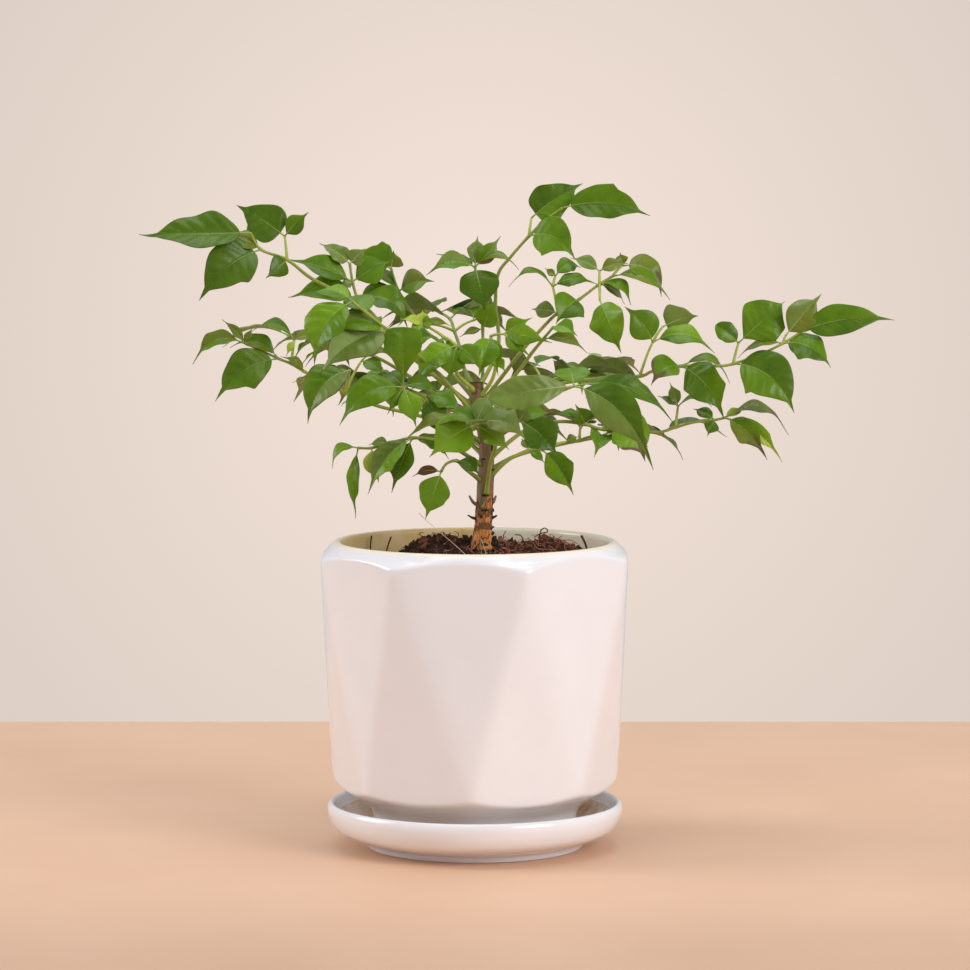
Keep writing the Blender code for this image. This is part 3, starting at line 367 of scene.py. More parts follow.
     [(-4, -6, 148), (-7, -8, 151), (-11, -10, 150), (-13, -11, 147)],
     [],
     [(3, -6, -4, -18, 12, "bb", "oval", FRONT, 0.0, 0.22, 0.08, ((0.6, -1, 0.12),)),
      (3, -11, 2, -2, 5, "n", "wedge", HALF, 0.05, 0.4),
      (1, 9, -4, -6, 7, "d", "wedge", HALF, 0.1)]),
    ("low_right", 145, 0,
     [(13, -4, 151), (21, -5, 155), (26, -6, 155)],
     [(2, 9, 2, 3)],
     [(2, 12, -5, -17, 11, "gb", "wedge", LEFT, 0.14, 0.35, 0.08),
      (1, 6, -3, -5, 4, "g", "oval", HALF),
      (3, 5, 1, 2, 4, "o", "wedge"),
      (1, -3, 4, 4, 4, "o", "oval", HALF)]),
    ("back_right", 164, 1,
     [(18, 30, 172), (32, 50, 177), (44, 68, 180), (50, 75, 183)],
     [],
     [(2, -10, 4, 4, 4, "s", "lance", HALF, 0.05),
      (3, 12, 1, -4, 6, "l", "lance", HALF, 0.05),
      (3, -4, 7, 5, 6, "l", "lance", HALF, 0.05),
      (2, 20, 6, -8, 12, "l", "oval", HALF, 0.05),
      (2, -14, 16, -10, 14, "g", "oval", HALF, 0.05),
      (3, 8, 24, -6, 13, "l", "oval", EDGE, 0.05)]),
)

# The compound leaves round the back, which keep the crown full from every side: the name, the
# height of the root, the degrees it heads right of straight back, the reach, the climb and the seed
HIDDEN_FRONDS = (
    ("back_left_high", 163, -62, 84, 34, 11),
    ("back_left", 156, -38, 92, 20, 12),
    ("back_high", 168, -12, 74, 38, 13),
    ("back_low", 155, 8, 89.6, 6, 14),
    ("back_right_high", 167, 40, 74, 14, 15),
    ("back_right_side", 147, 64, 82, 12, 66),
    ("back_left_low", 153, -42, 50, 22, 17),
)
GROWN_STEPS = (0.22, 0.4, 0.56, 0.72, 0.86, 1.0)


def leaf(node, right, away, up, wide, tone, form, faces=FRONT, rise=0.0, fold=0.3, arch=0.1,
         teeth=None, droop=0.0):
    """A leaflet: the node it grows from, its tip from there, its width, its looks and its bow.

    A tone, form, fold or teeth of None is dealt by the seeded rule. Droop hooks the end down.
    """
    return {"node": node, "reach": Vector((right, away, up)), "wide": wide, "tone": tone,
            "form": form, "faces": Vector(faces), "rise": rise, "fold": fold, "arch": arch,
            "teeth": teeth, "droop": droop}


def frond(name, root, cut, path, stalks, leaves):
    """A compound leaf: root height on the trunk, the rachis knots, and what the knots carry.

    Stalks are (node, right, away, up) and add a node each, numbered on after the knots.
    The petiole ends at the knot numbered cut, where the mass of foliage begins.
    """
    path = [Vector(knot) for knot in path]
    nodes = list(path)
    for node, *way in stalks:
        nodes.append(nodes[node] + Vector(way))
    return {"name": name, "root": root, "cut": cut, "path": path, "stalks": stalks, "nodes": nodes,
            "leaves": [leaf(*row) for row in leaves]}


def grown_frond(name, root, heading, reach, climb, seed):
    """A compound leaf laid out by rule: pairs of leaflets that shrink towards the tip."""
    chance = random.Random(seed)
    bearing = math.radians(heading)
    outward = Vector((math.sin(bearing), math.cos(bearing), 0.0))
    sideways = Vector((math.cos(bearing), -math.sin(bearing), 0.0))
    path, stalks, leaves = [], [], []
    for step in GROWN_STEPS:
        lift = climb * (1.0 - (1.0 - step) ** 2)
        wander = chance.uniform(-2.0, 2.0) * step
        path.append(outward * (reach * step) + sideways * wander + UP * (root + lift))

    def add_leaf(node, tip, wide, faces):
        leaves.append((node, *tip, wide, None, None, faces, 0.05, None, 0.12))

    for side in (-1.0, 1.0):
        stalk = sideways * side * 9.0 + outward * 5.0 + UP * chance.uniform(2.0, 7.0)
        stalks.append((2, *stalk))
        for turn in (-55.0, 8.0, 70.0):
            spin = Matrix.Rotation(math.radians(turn * side), 3, "Z")
            size = chance.uniform(17.0, 24.0)
            way = spin @ (sideways * side + outward * 0.35).normalized()
            tip = way * size + UP * chance.uniform(-9.0, 3.0)
            add_leaf(5 + len(stalks), tip, size * 0.52, UP + way * 0.35 + outward * 0.5)
    for place, node in enumerate((3, 4)):
        for side in (-1.0, 1.0):
            size = chance.uniform(24.0, 31.0) - 3.0 * place
            way = (sideways * side + outward * chance.uniform(0.3, 0.7)).normalized()
            tip = way * size + UP * chance.uniform(-14.0, 2.0)
            add_leaf(node, tip, size * 0.55, UP + outward * 0.6 + sideways * side * 0.2)
    tip = outward * chance.uniform(28.0, 34.0) + UP * chance.uniform(-12.0, -2.0)
    add_leaf(5, tip, 15.0, UP + outward * 0.6)
    return frond(name, root, 1, path, stalks, leaves)


def level(table, height):
    """Read a value from (height, value) pairs, straight between neighbours."""
    for (low, first), (high, second) in zip(table, table[1:]):
        if height <= high:
            return first + (second - first) * max(0.0, (height - low) / (high - low))
    return table[-1][1]


def curve_point(knots, index, t):
    """The point a share t of the way from a knot to the next, on a smooth curve through them."""
    before, start = knots[max(index - 1, 0)], knots[index]
    end, after = knots[index + 1], knots[min(index + 2, len(knots) - 1)]
    return 0.5 * ((2 * start) + (end - before) * t
                  + (2 * before - 5 * start + 4 * end - after) * t ** 2
                  + (3 * start - before - 3 * end + after) * t ** 3)


def smooth_line(knots, step):
    """Points about a step apart on a smooth curve through the knots."""
    knots = [Vector(knot) for knot in knots]
    points = []
    for index in range(len(knots) - 1):
        count = max(1, round((knots[index + 1] - knots[index]).length / step))
        points += [curve_point(knots, index, turn / count) for turn in range(count)]
    return points + [knots[-1]]


def rounded(corners, steps):
    """A smooth line of (radius, height) pairs through the corners."""
    knots = [Vector((radius, height, 0.0)) for radius, height in corners]
    line = [curve_point(knots, index, turn / steps)[:2]
            for index in range(len(knots) - 1) for turn in range(steps)]
    return line + [corners[-1]]


def turns(count):
    """The angles of even steps round a circle."""
    return 2.0 * np.pi * np.arange(count) / count


class Shape:
    """A growing mesh: millimetre vertices, and faces that each have a look and a shading."""

    def __init__(self):
        self.points, self.faces, self.looks, self.smooth = [], [], [], []
        self.count = 0

    def add(self, points, faces, look=0, smooth=True):
        """Add vertices and the faces between them, whose corners count from the first vertex."""
        self.points.append(np.asarray(points, float))
        self.add_faces(np.asarray(faces) + self.count, look, smooth)
        self.count += len(points)

    def add_faces(self, faces, look=0, smooth=True):
        self.faces.append(faces)
        self.looks.append(np.full(len(faces), look) if np.isscalar(look) else np.asarray(look))
        self.smooth.append(np.full(len(faces), smooth))

    def add_rings(self, rings, ends, look=0, end_looks=None, falling=False, flat_end=False):
        """Add rings of vertices that rise, or fall, with a fan to a middle point at each end."""
        count, around = len(rings), len(rings[0])
        near = np.arange(around)
        after = (near + 1) % around
        last = (count - 1) * around
        middle = np.full(around, count * around)
        order = slice(None, None, -1 if falling else 1)
        first = self.count
        self.add(np.concatenate([np.reshape(rings, (-1, 3)), ends]),
                 grid_faces(count, around, True)[:, order], look)
        fans = ((middle, after, near), (middle + 1, near + last, after + last))
        for fan, fan_look, smooth in zip(fans, end_looks or (look, look), (True, not flat_end)):
            self.add_faces(np.stack(fan, axis=1)[:, order] + first, fan_look, smooth)

    def built(self, name, materials):
        """The mesh object of this shape, in metres."""
        mesh = bpy.data.meshes.new(name)
        points = np.concatenate(self.points) * MM
        corners = np.concatenate([faces.ravel() for faces in self.faces])
        sides = np.concatenate([np.full(len(faces), faces.shape[1]) for faces in self.faces])
        starts = np.concatenate(([0], np.cumsum(sides)[:-1]))
        mesh.vertices.add(len(points))
        mesh.vertices.foreach_set("co", points.astype(np.float32).ravel())
        mesh.loops.add(len(corners))
        mesh.loops.foreach_set("vertex_index", corners.astype(np.int32))
        mesh.polygons.add(len(sides))
        mesh.polygons.foreach_set("loop_start", starts.astype(np.int32))
        for material in materials:
            mesh.materials.append(material)
        mesh.polygons.foreach_set("material_index", np.concatenate(self.looks).astype(np.int32))
        mesh.polygons.foreach_set("use_smooth", np.concatenate(self.smooth))
        mesh.update(calc_edges=True)
        mesh.validate()
        return placed(name, mesh)


def placed(name, data):
    """A new object with its data, in the scene."""
    obj = bpy.data.objects.new(name, data)
    bpy.context.scene.collection.objects.link(obj)
    return obj


def put_on(obj, slot, *nodes):
    """A piece that rides on the one body and stands for its nodes. Its slot is not used."""
    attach(obj, "root")
    if nodes:
        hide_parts(*nodes)


def grid_faces(rows, columns, closed=False):
    """Quads of a grid of vertices, whose columns may close into a ring."""
    around = columns if closed else columns - 1
    row, column = np.meshgrid(np.arange(rows - 1), np.arange(around), indexing="ij")
    following = (column + 1) % columns
    a = row * columns
    return np.stack([a + column, a + following, a + columns + following, a + columns + column],
                    axis=-1).reshape(-1, 4)


def add_tube(shape, points, radii, sides, look=0):
    """A round tube with closed ends through the points."""
    points = np.array([tuple(p) for p in points], float)
    ways = np.gradient(points, axis=0)
    ways /= np.linalg.norm(ways, axis=1)[:, None]
    across = np.cross(ways[0], (0.0, 0.0, 1.0) if abs(ways[0][2]) < 0.8 else (1.0, 0.0, 0.0))
    frames = []
    for way in ways:
        across = across - way * across.dot(way)
        across /= np.linalg.norm(across)
        frames.append(across)
    frames = np.array(frames)
    above = np.cross(ways, frames)
    angle = turns(sides)[None, :, None]
    ring = np.cos(angle) * frames[:, None, :] + np.sin(angle) * above[:, None, :]
    rings = points[:, None, :] + ring * np.asarray(radii, float)[:, None, None]
    shape.add_rings(rings, points[[0, -1]], look)


def turned_shape(profile, around, look_at, radius_at=None):
    """A solid turned round the upright axis, from (radius, height) pairs that run down its outer
    side and start and end on the axis. The radius may depend on the direction."""
    angle = turns(around)
    rings, looks = [], []
    for index, (radius, height) in enumerate(profile[1:-1]):
        radii = radius_at(angle, radius, height, index) if radius_at else np.full(around, radius)
        heights = np.full(around, height)
        rings.append(np.stack([radii * np.cos(angle), radii * np.sin(angle), heights], axis=1))
        looks.append(look_at(angle, height, index))
    shape = Shape()
    shape.add_rings(rings, [(0.0, 0.0, profile[0][1]), (0.0, 0.0, profile[-1][1])],
                    np.concatenate(looks[:-1]), (looks[0], looks[-1]), True)
    return shape


def facet_corners(turned, radius, height):
    """Corners of the pot's facets in a level ring, by their angles from the front."""
    return [np.array((radius * math.sin(turn), -radius * math.cos(turn), height))
            for turn in map(math.radians, turned)]


def facet_planes():
    """The outward normals and distances of the pot's flat triangles, point up and point down."""
    tops = facet_corners(POT_TOP_ANGLES, POT_BODY_RADIUS, POT_FACET_TOP)
    feet = facet_corners(POT_FOOT_ANGLES, POT_FACET_FOOT_RADIUS, POT_FACET_BOTTOM)
    planes = []
    for k in range(len(tops)):
        after = (k + 1) % len(tops)
        for a, b, c in ((tops[k], tops[after], feet[after]), (feet[k], feet[after], tops[k])):
            normal = np.cross(b - a, c - a)
            normal *= np.sign(normal[:2].dot(a[:2] + b[:2] + c[:2])) / np.linalg.norm(normal)
            planes.append((normal, normal.dot(a)))
    return planes


def soft_least(values, sharpness):
    """The least of several radii in each direction, with the edges between them rounded."""
    values = np.array(values)
    least = values.min(axis=0)
    return least - np.log(np.exp(-sharpness * (values - least)).sum(axis=0)) / sharpness


def make_pot(glaze, lip_glaze, stain_and_shade):
    """The faceted pot, its rolled shoulder, its lip and its inner wall."""
    rim, body, foot, lip = POT_RIM_HEIGHT, POT_BODY_RADIUS, POT_FOOT_RADIUS, POT_LIP_RADIUS
    mouth, low, waist = POT_MOUTH, POT_FACET_BOTTOM, POT_FACET_FOOT_RADIUS + 0.5
    inside = [(0.0, POT_FLOOR + 4.0), (foot - 10.0, POT_FLOOR + 4.0), (foot - 4.0, POT_FLOOR + 8.0),
              (mouth - 3.2, low + 6.0), (mouth - 0.6, 96.0)]
    edge = rounded([(mouth - 0.1, rim - 12.0), (mouth, rim - 5.0), (mouth + 0.1, rim - 1.4),
                    (mouth + 0.6, rim - 0.35), (mouth + 1.5, rim), (lip - 1.2, rim),
                    (lip, rim - 0.7)], 5)
    shoulder = rounded([(lip, rim - 0.7), (body - 6.2, rim - 1.7), (body - 4.7, rim - 3.1),
                        (body - 2.5, rim - 4.5), (body - 0.8, rim - 6.0), (body, rim - 8.2),
                        (body, rim - 10.0)], 7)
    flank = np.linspace(shoulder[-1], (waist, low + 4.0), 53)[1:-1].tolist()
    base = rounded([(waist, low + 4.0), (waist - 1.2, low - 0.6), (foot + 12.4, low - 3.9),
                    (foot + 7.0, low - 7.0), (foot + 2.7, low - 10.2), (foot + 0.8, low - 13.6),
                    (foot + 0.1, POT_STAND + 2.0), (foot - 0.6, POT_STAND)], 7)
    profile = inside + edge[:-1] + shoulder[:-1] + flank + base
    profile += [(foot - 6.0, POT_STAND), (0.0, POT_STAND)]
    first_outer = len(inside) + len(edge) - 3
    planes = facet_planes()

    def radius_at(angle, radius, height, index):
        found = [np.full(len(angle), radius)]
        if index < first_outer or height < POT_STAND + 0.5:
            return found[0]
        for normal, distance in planes:
            facing = normal[0] * np.cos(angle) + normal[1] * np.sin(angle)
            found.append((distance - normal[2] * height) / np.maximum(facing, 0.3))
        return soft_least(found, FACET_SHARPNESS)

    def look_at(angle, height, index):
        # The left half of the inner wall is tan: a yellow-brown stain, made darker there as painted shade.
        if index < first_outer - MOUTH_GLAZED_ROWS:
            return np.where(np.cos(angle) < 0.04, 2, 1)
        return np.full(len(angle), 1 if index < first_outer or height > rim - 0.8 else 0)

    shape = turned_shape(profile, POT_AROUND, look_at, radius_at)
    put_on(shape.built("pot_body", [glaze, lip_glaze, stain_and_shade]), "white_glaze", "pot")


def make_saucer(glaze, stained):
    """The saucer with its rolled rim, from the middle of its floor to the middle of its foot."""
    rim, wide, foot = SAUCER_HEIGHT, SAUCER_RADIUS, SAUCER_FOOT_RADIUS
    floor = [(radius, SAUCER_FLOOR) for radius in (0.0, 12.0, 24.0, 34.0)]
    side = rounded([(foot - 1.0, SAUCER_FLOOR), (foot + 2.6, SAUCER_FLOOR + 0.3),
                    (wide - 9.4, rim * 0.4), (wide - 6.2, rim * 0.56), (wide - 4.0, rim - 4.4),
                    (wide - 3.1, rim - 2.2), (wide - 2.5, rim - 0.7), (wide - 1.6, rim),
                    (wide - 0.7, rim - 0.5), (wide - 0.1, rim - 2.0), (wide - 0.2, rim - 4.2),
                    (wide - 1.2, rim - 7.2), (wide - 3.4, rim - 10.2), (wide - 7.4, 4.9),
                    (foot + 3.2, 3.2), (foot + 1.0, 2.4), (foot + 0.5, 1.6), (foot + 0.3, 0.3),
                    (foot - 0.4, 0.0)], 6)
    profile = floor + side + [(foot - 8.0, 0.0), (0.0, 0.0)]

    def look_at(angle, height, index):
        return np.full(len(angle), 1 if index < SAUCER_STAINED_ROWS else 0)

    shape = turned_shape(profile, SAUCER_AROUND, look_at)
    put_on(shape.built("saucer_dish", [glaze, stained]), "white_glaze", "saucer")


def soil_height(x, y):
    """The height of the soil's surface: a mound round the trunk, with heaps behind and beside it."""
    mound = SOIL_MOUND / (1.0 + (math.hypot(x - 1.5, y) / SOIL_MOUND_RADIUS) ** 3)
    behind = 3.0 * math.exp(-((x - 4.0) / 34.0) ** 2 - ((y - 17.0) / 15.0) ** 2)
    right = 6.4 * math.exp(-((x - 32.0) / 12.0) ** 2 - ((y - 8.0) / 13.0) ** 2)
    left = 5.0 * math.exp(-((x + 19.0) / 12.0) ** 2 - ((y - 16.0) / 13.0) ** 2)
    low_left = -2.6 * math.exp(-((x + 40.0) / 16.0) ** 2)
    rough = 1.1 * noise.noise(Vector((x, y, 3.0)) / 6.5) + 0.6 * noise.noise(Vector((x, y, 9.0)) / 2.6)
    return SOIL_HEIGHT + mound + behind + right + left + low_left + rough


def soil_spots(count, outer, clear, chance):
    """Places dealt evenly over the soil, each clear of the trunk."""
    for _ in range(count):
        radius = outer * math.sqrt(chance.random())
        angle = chance.uniform(0.0, 2.0 * math.pi)
        x, y = radius * math.cos(angle), radius * math.sin(angle)
        if math.hypot(x - 2.5, y) >= clear:
            yield x, y


def make_soil_bed(earth):
    """The body of the soil, which fills the pot."""
    levels = [(radius, None) for radius in np.linspace(1.6, POT_MOUTH - 0.9, 32)]
    levels += [(POT_MOUTH - 4.4, POT_FACET_BOTTOM + 7.0), (POT_FOOT_RADIUS - 5.4, SOIL_FOOT)]
    rings = []
    for radius, height in levels:
        spots = [(radius * math.cos(angle), radius * math.sin(angle)) for angle in turns(SOIL_AROUND)]
        rings.append([(x, y, height or soil_height(x, y)) for x, y in spots])
    shape = Shape()
    shape.add_rings(rings, [(0.0, 0.0, soil_height(0.0, 0.0)), (0.0, 0.0, SOIL_FOOT)], falling=True)
    put_on(shape.built("soil_bed", [earth]), "potting_soil", "soil")


def lump_mesh(detail):
    """The vertices and faces of a round lump of radius 1."""
    lump = bmesh.new()
    bmesh.ops.create_icosphere(lump, subdivisions=detail, radius=1.0)
    points = np.array([tuple(v.co) for v in lump.verts])
    faces = np.array([[v.index for v in face.verts] for face in lump.faces])
    lump.free()
    return points, faces


def add_lump(shape, lump, place, size, chance, look, rough):
    """An uneven lump of three half sizes, turned any way."""
    points, faces = lump
    grown = np.array([chance.uniform(1.0 - rough, 1.0 + rough) for _ in points])
    turn = np.array(Euler([chance.uniform(0.0, 2.0 * math.pi) for _ in range(3)]).to_matrix())
    body = (points * grown[:, None] * np.array(size)) @ turn.T
    shape.add(body + np.array(place), faces, look, False)


def make_soil_crumbs(looks):
    """Loose crumbs and bark bits on the soil, redder on the right."""
    chance = random.Random(CRUMB_SEED)
    lump = lump_mesh(2)
    shape = Shape()
    for x, y in soil_spots(CRUMBS, POT_MOUTH - 2.2, 5.2, chance):
        size = 0.25 + 1.25 * chance.random() ** 5
        size = min(size, POT_MOUTH - 0.4 - math.hypot(x, y))
        long = size * chance.uniform(1.0, 1.9)
        place = (x, y, soil_height(x, y) + size * 0.25)
        look = chance.choice((0, 0, 0, 0, 1, 2) if x < 8.0 else (0, 1, 1, 2, 2, 2))
        add_lump(shape, lump, place, (min(long, size * 1.6), size * 0.8, size * 0.55), chance, look, 0.42)
    put_on(shape.built("soil_crumbs", looks), "potting_soil", "soil")


def fibre_path(start, heading, length, curl, chance, steps=10):
    """A thin thing's wandering line from a start, in a compass direction."""
    place = Vector(start)
    way = Vector(heading).normalized()
    points = [place.copy()]
    swing = Vector((chance.uniform(-1, 1), chance.uniform(-1, 1), chance.uniform(-0.4, 0.4))) * curl
    for _ in range(steps):
        way = (way + swing).normalized()
        swing += Vector([chance.uniform(-curl, curl) for _ in range(3)]) * 0.7
        place = place + way * (length / steps)
        points.append(place.copy())
    return points


# Dry sticks, a curled root and pale threads: the knots, the thickness and the look of each
SOIL_THREADS = (
    (((-41.0, 29.0, 118.3), (-41.4, 27.0, 114.0), (-41.0, 25.0, 108.0)), 0.35, 1),
    (((-33.1, 22.0, 118.5), (-34.6, 19.0, 114.2), (-35.4, 16.0, 108.0)), 0.35, 1),
    (((41.6, 8.0, 120.3), (43.4, 4.0, 116.2), (44.2, 1.0, 109.0)), 0.5, 1),
    (((24.6, 9.0, 116.0), (25.4, 8.0, 121.3), (25.9, 7.0, 122.8), (27.2, 6.0, 123.6),
      (28.3, 5.0, 122.9), (27.9, 6.0, 121.9), (26.4, 8.0, 121.5), (23.0, 9.0, 119.6)), 0.26, 1),
    (((-21.3, -24.0, 132.2), (-19.0, -28.0, 130.3), (-15.9, -33.0, 128.1), (-12.8, -38.0, 125.9),
      (-8.5, -44.0, 122.9), (-3.6, -53.0, 119.4)), 0.13, 2),
    (((2.6, -20.0, 116.0), (2.2, -27.0, 122.0), (2.8, -34.0, 122.2), (4.4, -52.6, 119.4)), 0.13, 2),
    (((11.4, 14.0, 112.0), (11.0, 15.0, 119.0), (12.2, 15.0, 121.6)), 0.25, 1),
    (((20.0, 12.0, 112.0), (18.4, 12.0, 119.4), (15.6, 12.0, 120.4)), 0.3, 1))


def make_soil_fibres(looks):
    """Peat fibres, dry sticks and pale root hairs on the soil."""
    chance = random.Random(FIBRE_SEED)
    shape = Shape()
    outer = POT_MOUTH - 5.0
    furthest = outer + 3.6
    for x, y in soil_spots(FIBRES, outer, 5.5, chance):
        heading = (chance.uniform(-1, 1), chance.uniform(-1, 1), chance.uniform(-0.3, 0.1))
        path = fibre_path((x, y, soil_height(x, y) + 0.2), heading, chance.uniform(2.5, 7.5), 0.42,
                          chance)
        for point in path:
            spread = math.hypot(point.x, point.y)
            if spread > furthest:
                point.x, point.y = (value * furthest / spread for value in point.xy)
            ground = soil_height(point.x, point.y)
            point.z = min(max(point.z, ground + 0.35), ground + 2.2)
        thick = chance.uniform(0.08, 0.2)
        radii = np.linspace(thick, thick * 0.6, len(path))
        add_tube(shape, path, radii, 5, chance.choice((0, 0, 0, 1) if x > 0.0 else (0, 1, 1, 1)))
    for knots, thick, look in SOIL_THREADS:
        path = smooth_line(knots, 0.5)
        add_tube(shape, path, np.linspace(thick, thick * 0.7, len(path)), 6, look)
    put_on(shape.built("soil_fibres", looks), "potting_soil")


BARK_TAN, BARK_BROWN, BARK_DARK, BARK_OLIVE, BARK_GREEN, SHOOT_GREEN = range(6)


def bark_look(x, height, crack, fine, band):
    """Which look the trunk has: cracked tan bark low down, olive above and a brown cut end."""
    edge = height + 7.0 * band + 3.0 * crack
    if height > TRUNK_TOP - 0.7:
        return BARK_DARK
    if height > TRUNK_TOP - 5.0 + 2.0 * fine:
        return BARK_BROWN if x < 0.2 + crack else BARK_GREEN
    if edge < 125.0:
        return BARK_DARK if abs(crack) < 0.03 or band > 0.4 else BARK_BROWN if fine > 0.25 else BARK_TAN
    if edge < 134.0:
        return BARK_DARK if abs(crack) < 0.04 else BARK_BROWN if band + fine > -0.28 else BARK_TAN
    return BARK_DARK if band > 0.45 else BARK_OLIVE if fine + crack < 0.25 else BARK_GREEN


def make_trunk(looks):
    """The woody stem with its bark in relief and its flare, cut flat on top."""
    rings, faces_look = [], []
    for row in range(TRUNK_ROWS + 1):
        height = TRUNK_FOOT + (TRUNK_TOP - TRUNK_FOOT) * row / TRUNK_ROWS
        near = [min(max(height + step, TRUNK_FOOT), TRUNK_TOP) for step in (-3, -1.5, 0, 1.5, 3)]
        middle, radius = (sum(level(table, value) for value in near) / len(near)
                          for table in (TRUNK_MIDDLE, TRUNK_RADIUS))
        flare = max(0.0, 1.0 - (height - TRUNK_FOOT) / FLARE_HEIGHT)
        low = min(1.0, max(0.0, (136.0 - height) / 12.0))
        ring = []
        for angle in turns(TRUNK_AROUND):
            x, y = math.cos(angle), math.sin(angle)
            crack = noise.noise(Vector((x * 2.6, y * 2.6, height * 0.16)))
            fine = noise.noise(Vector((x * 6.0, y * 6.0, height * 0.5 + 20.0)))
            band = noise.noise(Vector((x * 0.8, y * 0.8, height * 0.42 + 50.0)))
            rough = low * (0.2 - 0.55 * abs(crack) ** 0.7 + 0.22 * fine)
            smooth = (1.0 - low) * 0.1 * (crack + fine)
            lobed = radius * (1.0 + FLARE_DEPTH * flare * math.cos(3.0 * angle + 0.8))
            lobed += rough + smooth + 0.12 * band
            ring.append((middle + lobed * x, lobed * y, height))
            faces_look.append(bark_look(x, height, crack, fine, band))
        rings.append(ring)
    ends = [(level(TRUNK_MIDDLE, TRUNK_FOOT), 0.0, TRUNK_FOOT),
            (level(TRUNK_MIDDLE, TRUNK_TOP), 0.0, TRUNK_TOP - 0.5)]
    shape = Shape()
    shape.add_rings(rings, ends, faces_look[:-TRUNK_AROUND], (BARK_DARK, BARK_BROWN), flat_end=True)
    put_on(shape.built("trunk_bark", looks), "bark", "trunk")


# Old leaf stubs: the three knots, the thickness and the look of each
STUBS = (
    (((1.1, -1.0, 133.2), (-0.7, -1.4, 134.4), (-2.3, -1.6, 137.0)), 0.75, BARK_GREEN),
    (((6.4, -1.0, 134.2), (7.3, -1.4, 134.8), (8.2, -1.6, 137.0)), 0.8, BARK_GREEN),
    (((6.3, -0.5, 132.2), (7.0, -0.8, 131.6), (7.3, -1.0, 130.6)), 0.5, BARK_DARK),
    (((0.8, -0.8, 127.8), (-1.2, -1.2, 128.4), (-2.8, -1.4, 129.4)), 0.6, BARK_DARK),
    (((6.2, -0.8, 128.0), (7.3, -1.2, 128.5), (8.6, -1.5, 129.2)), 0.65, BARK_DARK),
    (((5.6, -1.2, 123.6), (6.4, -1.6, 124.2), (7.5, -1.9, 125.0)), 0.55, BARK_DARK),
    (((1.6, 0.0, 143.0), (0.6, -0.4, 143.4), (-0.1, -0.5, 144.4)), 0.6, BARK_DARK),
    (((2.9, -2.8, 132.4), (3.3, -3.9, 133.4), (4.0, -4.4, 135.0)), 0.5, SHOOT_GREEN),
    (((2.6, 2.4, 139.0), (2.2, 4.0, 139.6), (1.9, 5.2, 141.4)), 0.7, BARK_GREEN),
    (((5.0, 2.2, 127.0), (5.9, 3.8, 127.4), (6.6, 4.9, 128.6)), 0.6, BARK_DARK))

# Leaf scars on the trunk: height and direction
SCARS = ((137.2, -93.0), (131.4, -88.0), (143.5, 170.0), (147.0, -35.0), (150.5, 60.0), (139.5, 95.0))

# The dark root crown beside the trunk's foot: place, half width and half height of each lump
ROOT_CROWN = (
    (6.7, -0.6, 122.2, 0.9, 1.5), (7.6, -1.2, 120.3, 1.1, 1.6), (8.2, -0.8, 118.5, 1.3, 1.6),
    (7.0, -2.2, 118.2, 1.0, 1.7), (9.2, -1.5, 117.0, 1.2, 1.1), (6.8, 0.8, 119.4, 1.1, 1.9),
    (-2.8, 1.4, 117.4, 0.9, 1.1), (7.9, -2.4, 116.4, 1.1, 1.2))


def make_trunk_bits(looks):
    """Old leaf stubs on the trunk, its leaf scars and the dark root crown beside its foot."""
    chance = random.Random(BITS_SEED)
    shape = Shape()
    for knots, radius, look in STUBS:
        path = smooth_line(knots, 0.4)
        radii = [radius * (1.0 - 0.62 * (k / (len(path) - 1)) ** 1.5) * chance.uniform(0.86, 1.14)
                 for k in range(len(path))]
        add_tube(shape, path, radii, 8, look)
    lump = points, faces = lump_mesh(3)
    for height, direction in SCARS:
        radius = level(TRUNK_RADIUS, height) - 0.1
        turn = math.radians(direction)
        place = (level(TRUNK_MIDDLE, height) + radius * math.cos(turn), radius * math.sin(turn), height)
        body = points * np.array((1.5, 0.45, 0.5)) * (1.0 + 0.12 * np.sin(points[:, :1] * 9.0))
        spin = np.array(Matrix.Rotation(turn + math.pi / 2, 3, "Z"))
        shape.add(body @ spin.T + np.array(place), faces, BARK_DARK)
    for x, y, z, wide, high in ROOT_CROWN:
        size = (wide, wide * 0.8, high * 0.8)
        add_lump(shape, lump, (x, y, z), size, chance, BARK_DARK, 0.1)
    put_on(shape.built("trunk_bits", looks), "bark", "trunk")


def rooted_path(plant):
    """The rachis knots with the root in front: just inside the trunk's surface."""
    middle = Vector((level(TRUNK_MIDDLE, plant["root"]), 0.0, plant["root"]))
    away = plant["path"][0] - middle
    heading = Vector((away.x, away.y, 0.0)).normalized()
    return [middle + heading * (level(TRUNK_RADIUS, plant["root"]) - 0.6)] + plant["path"]


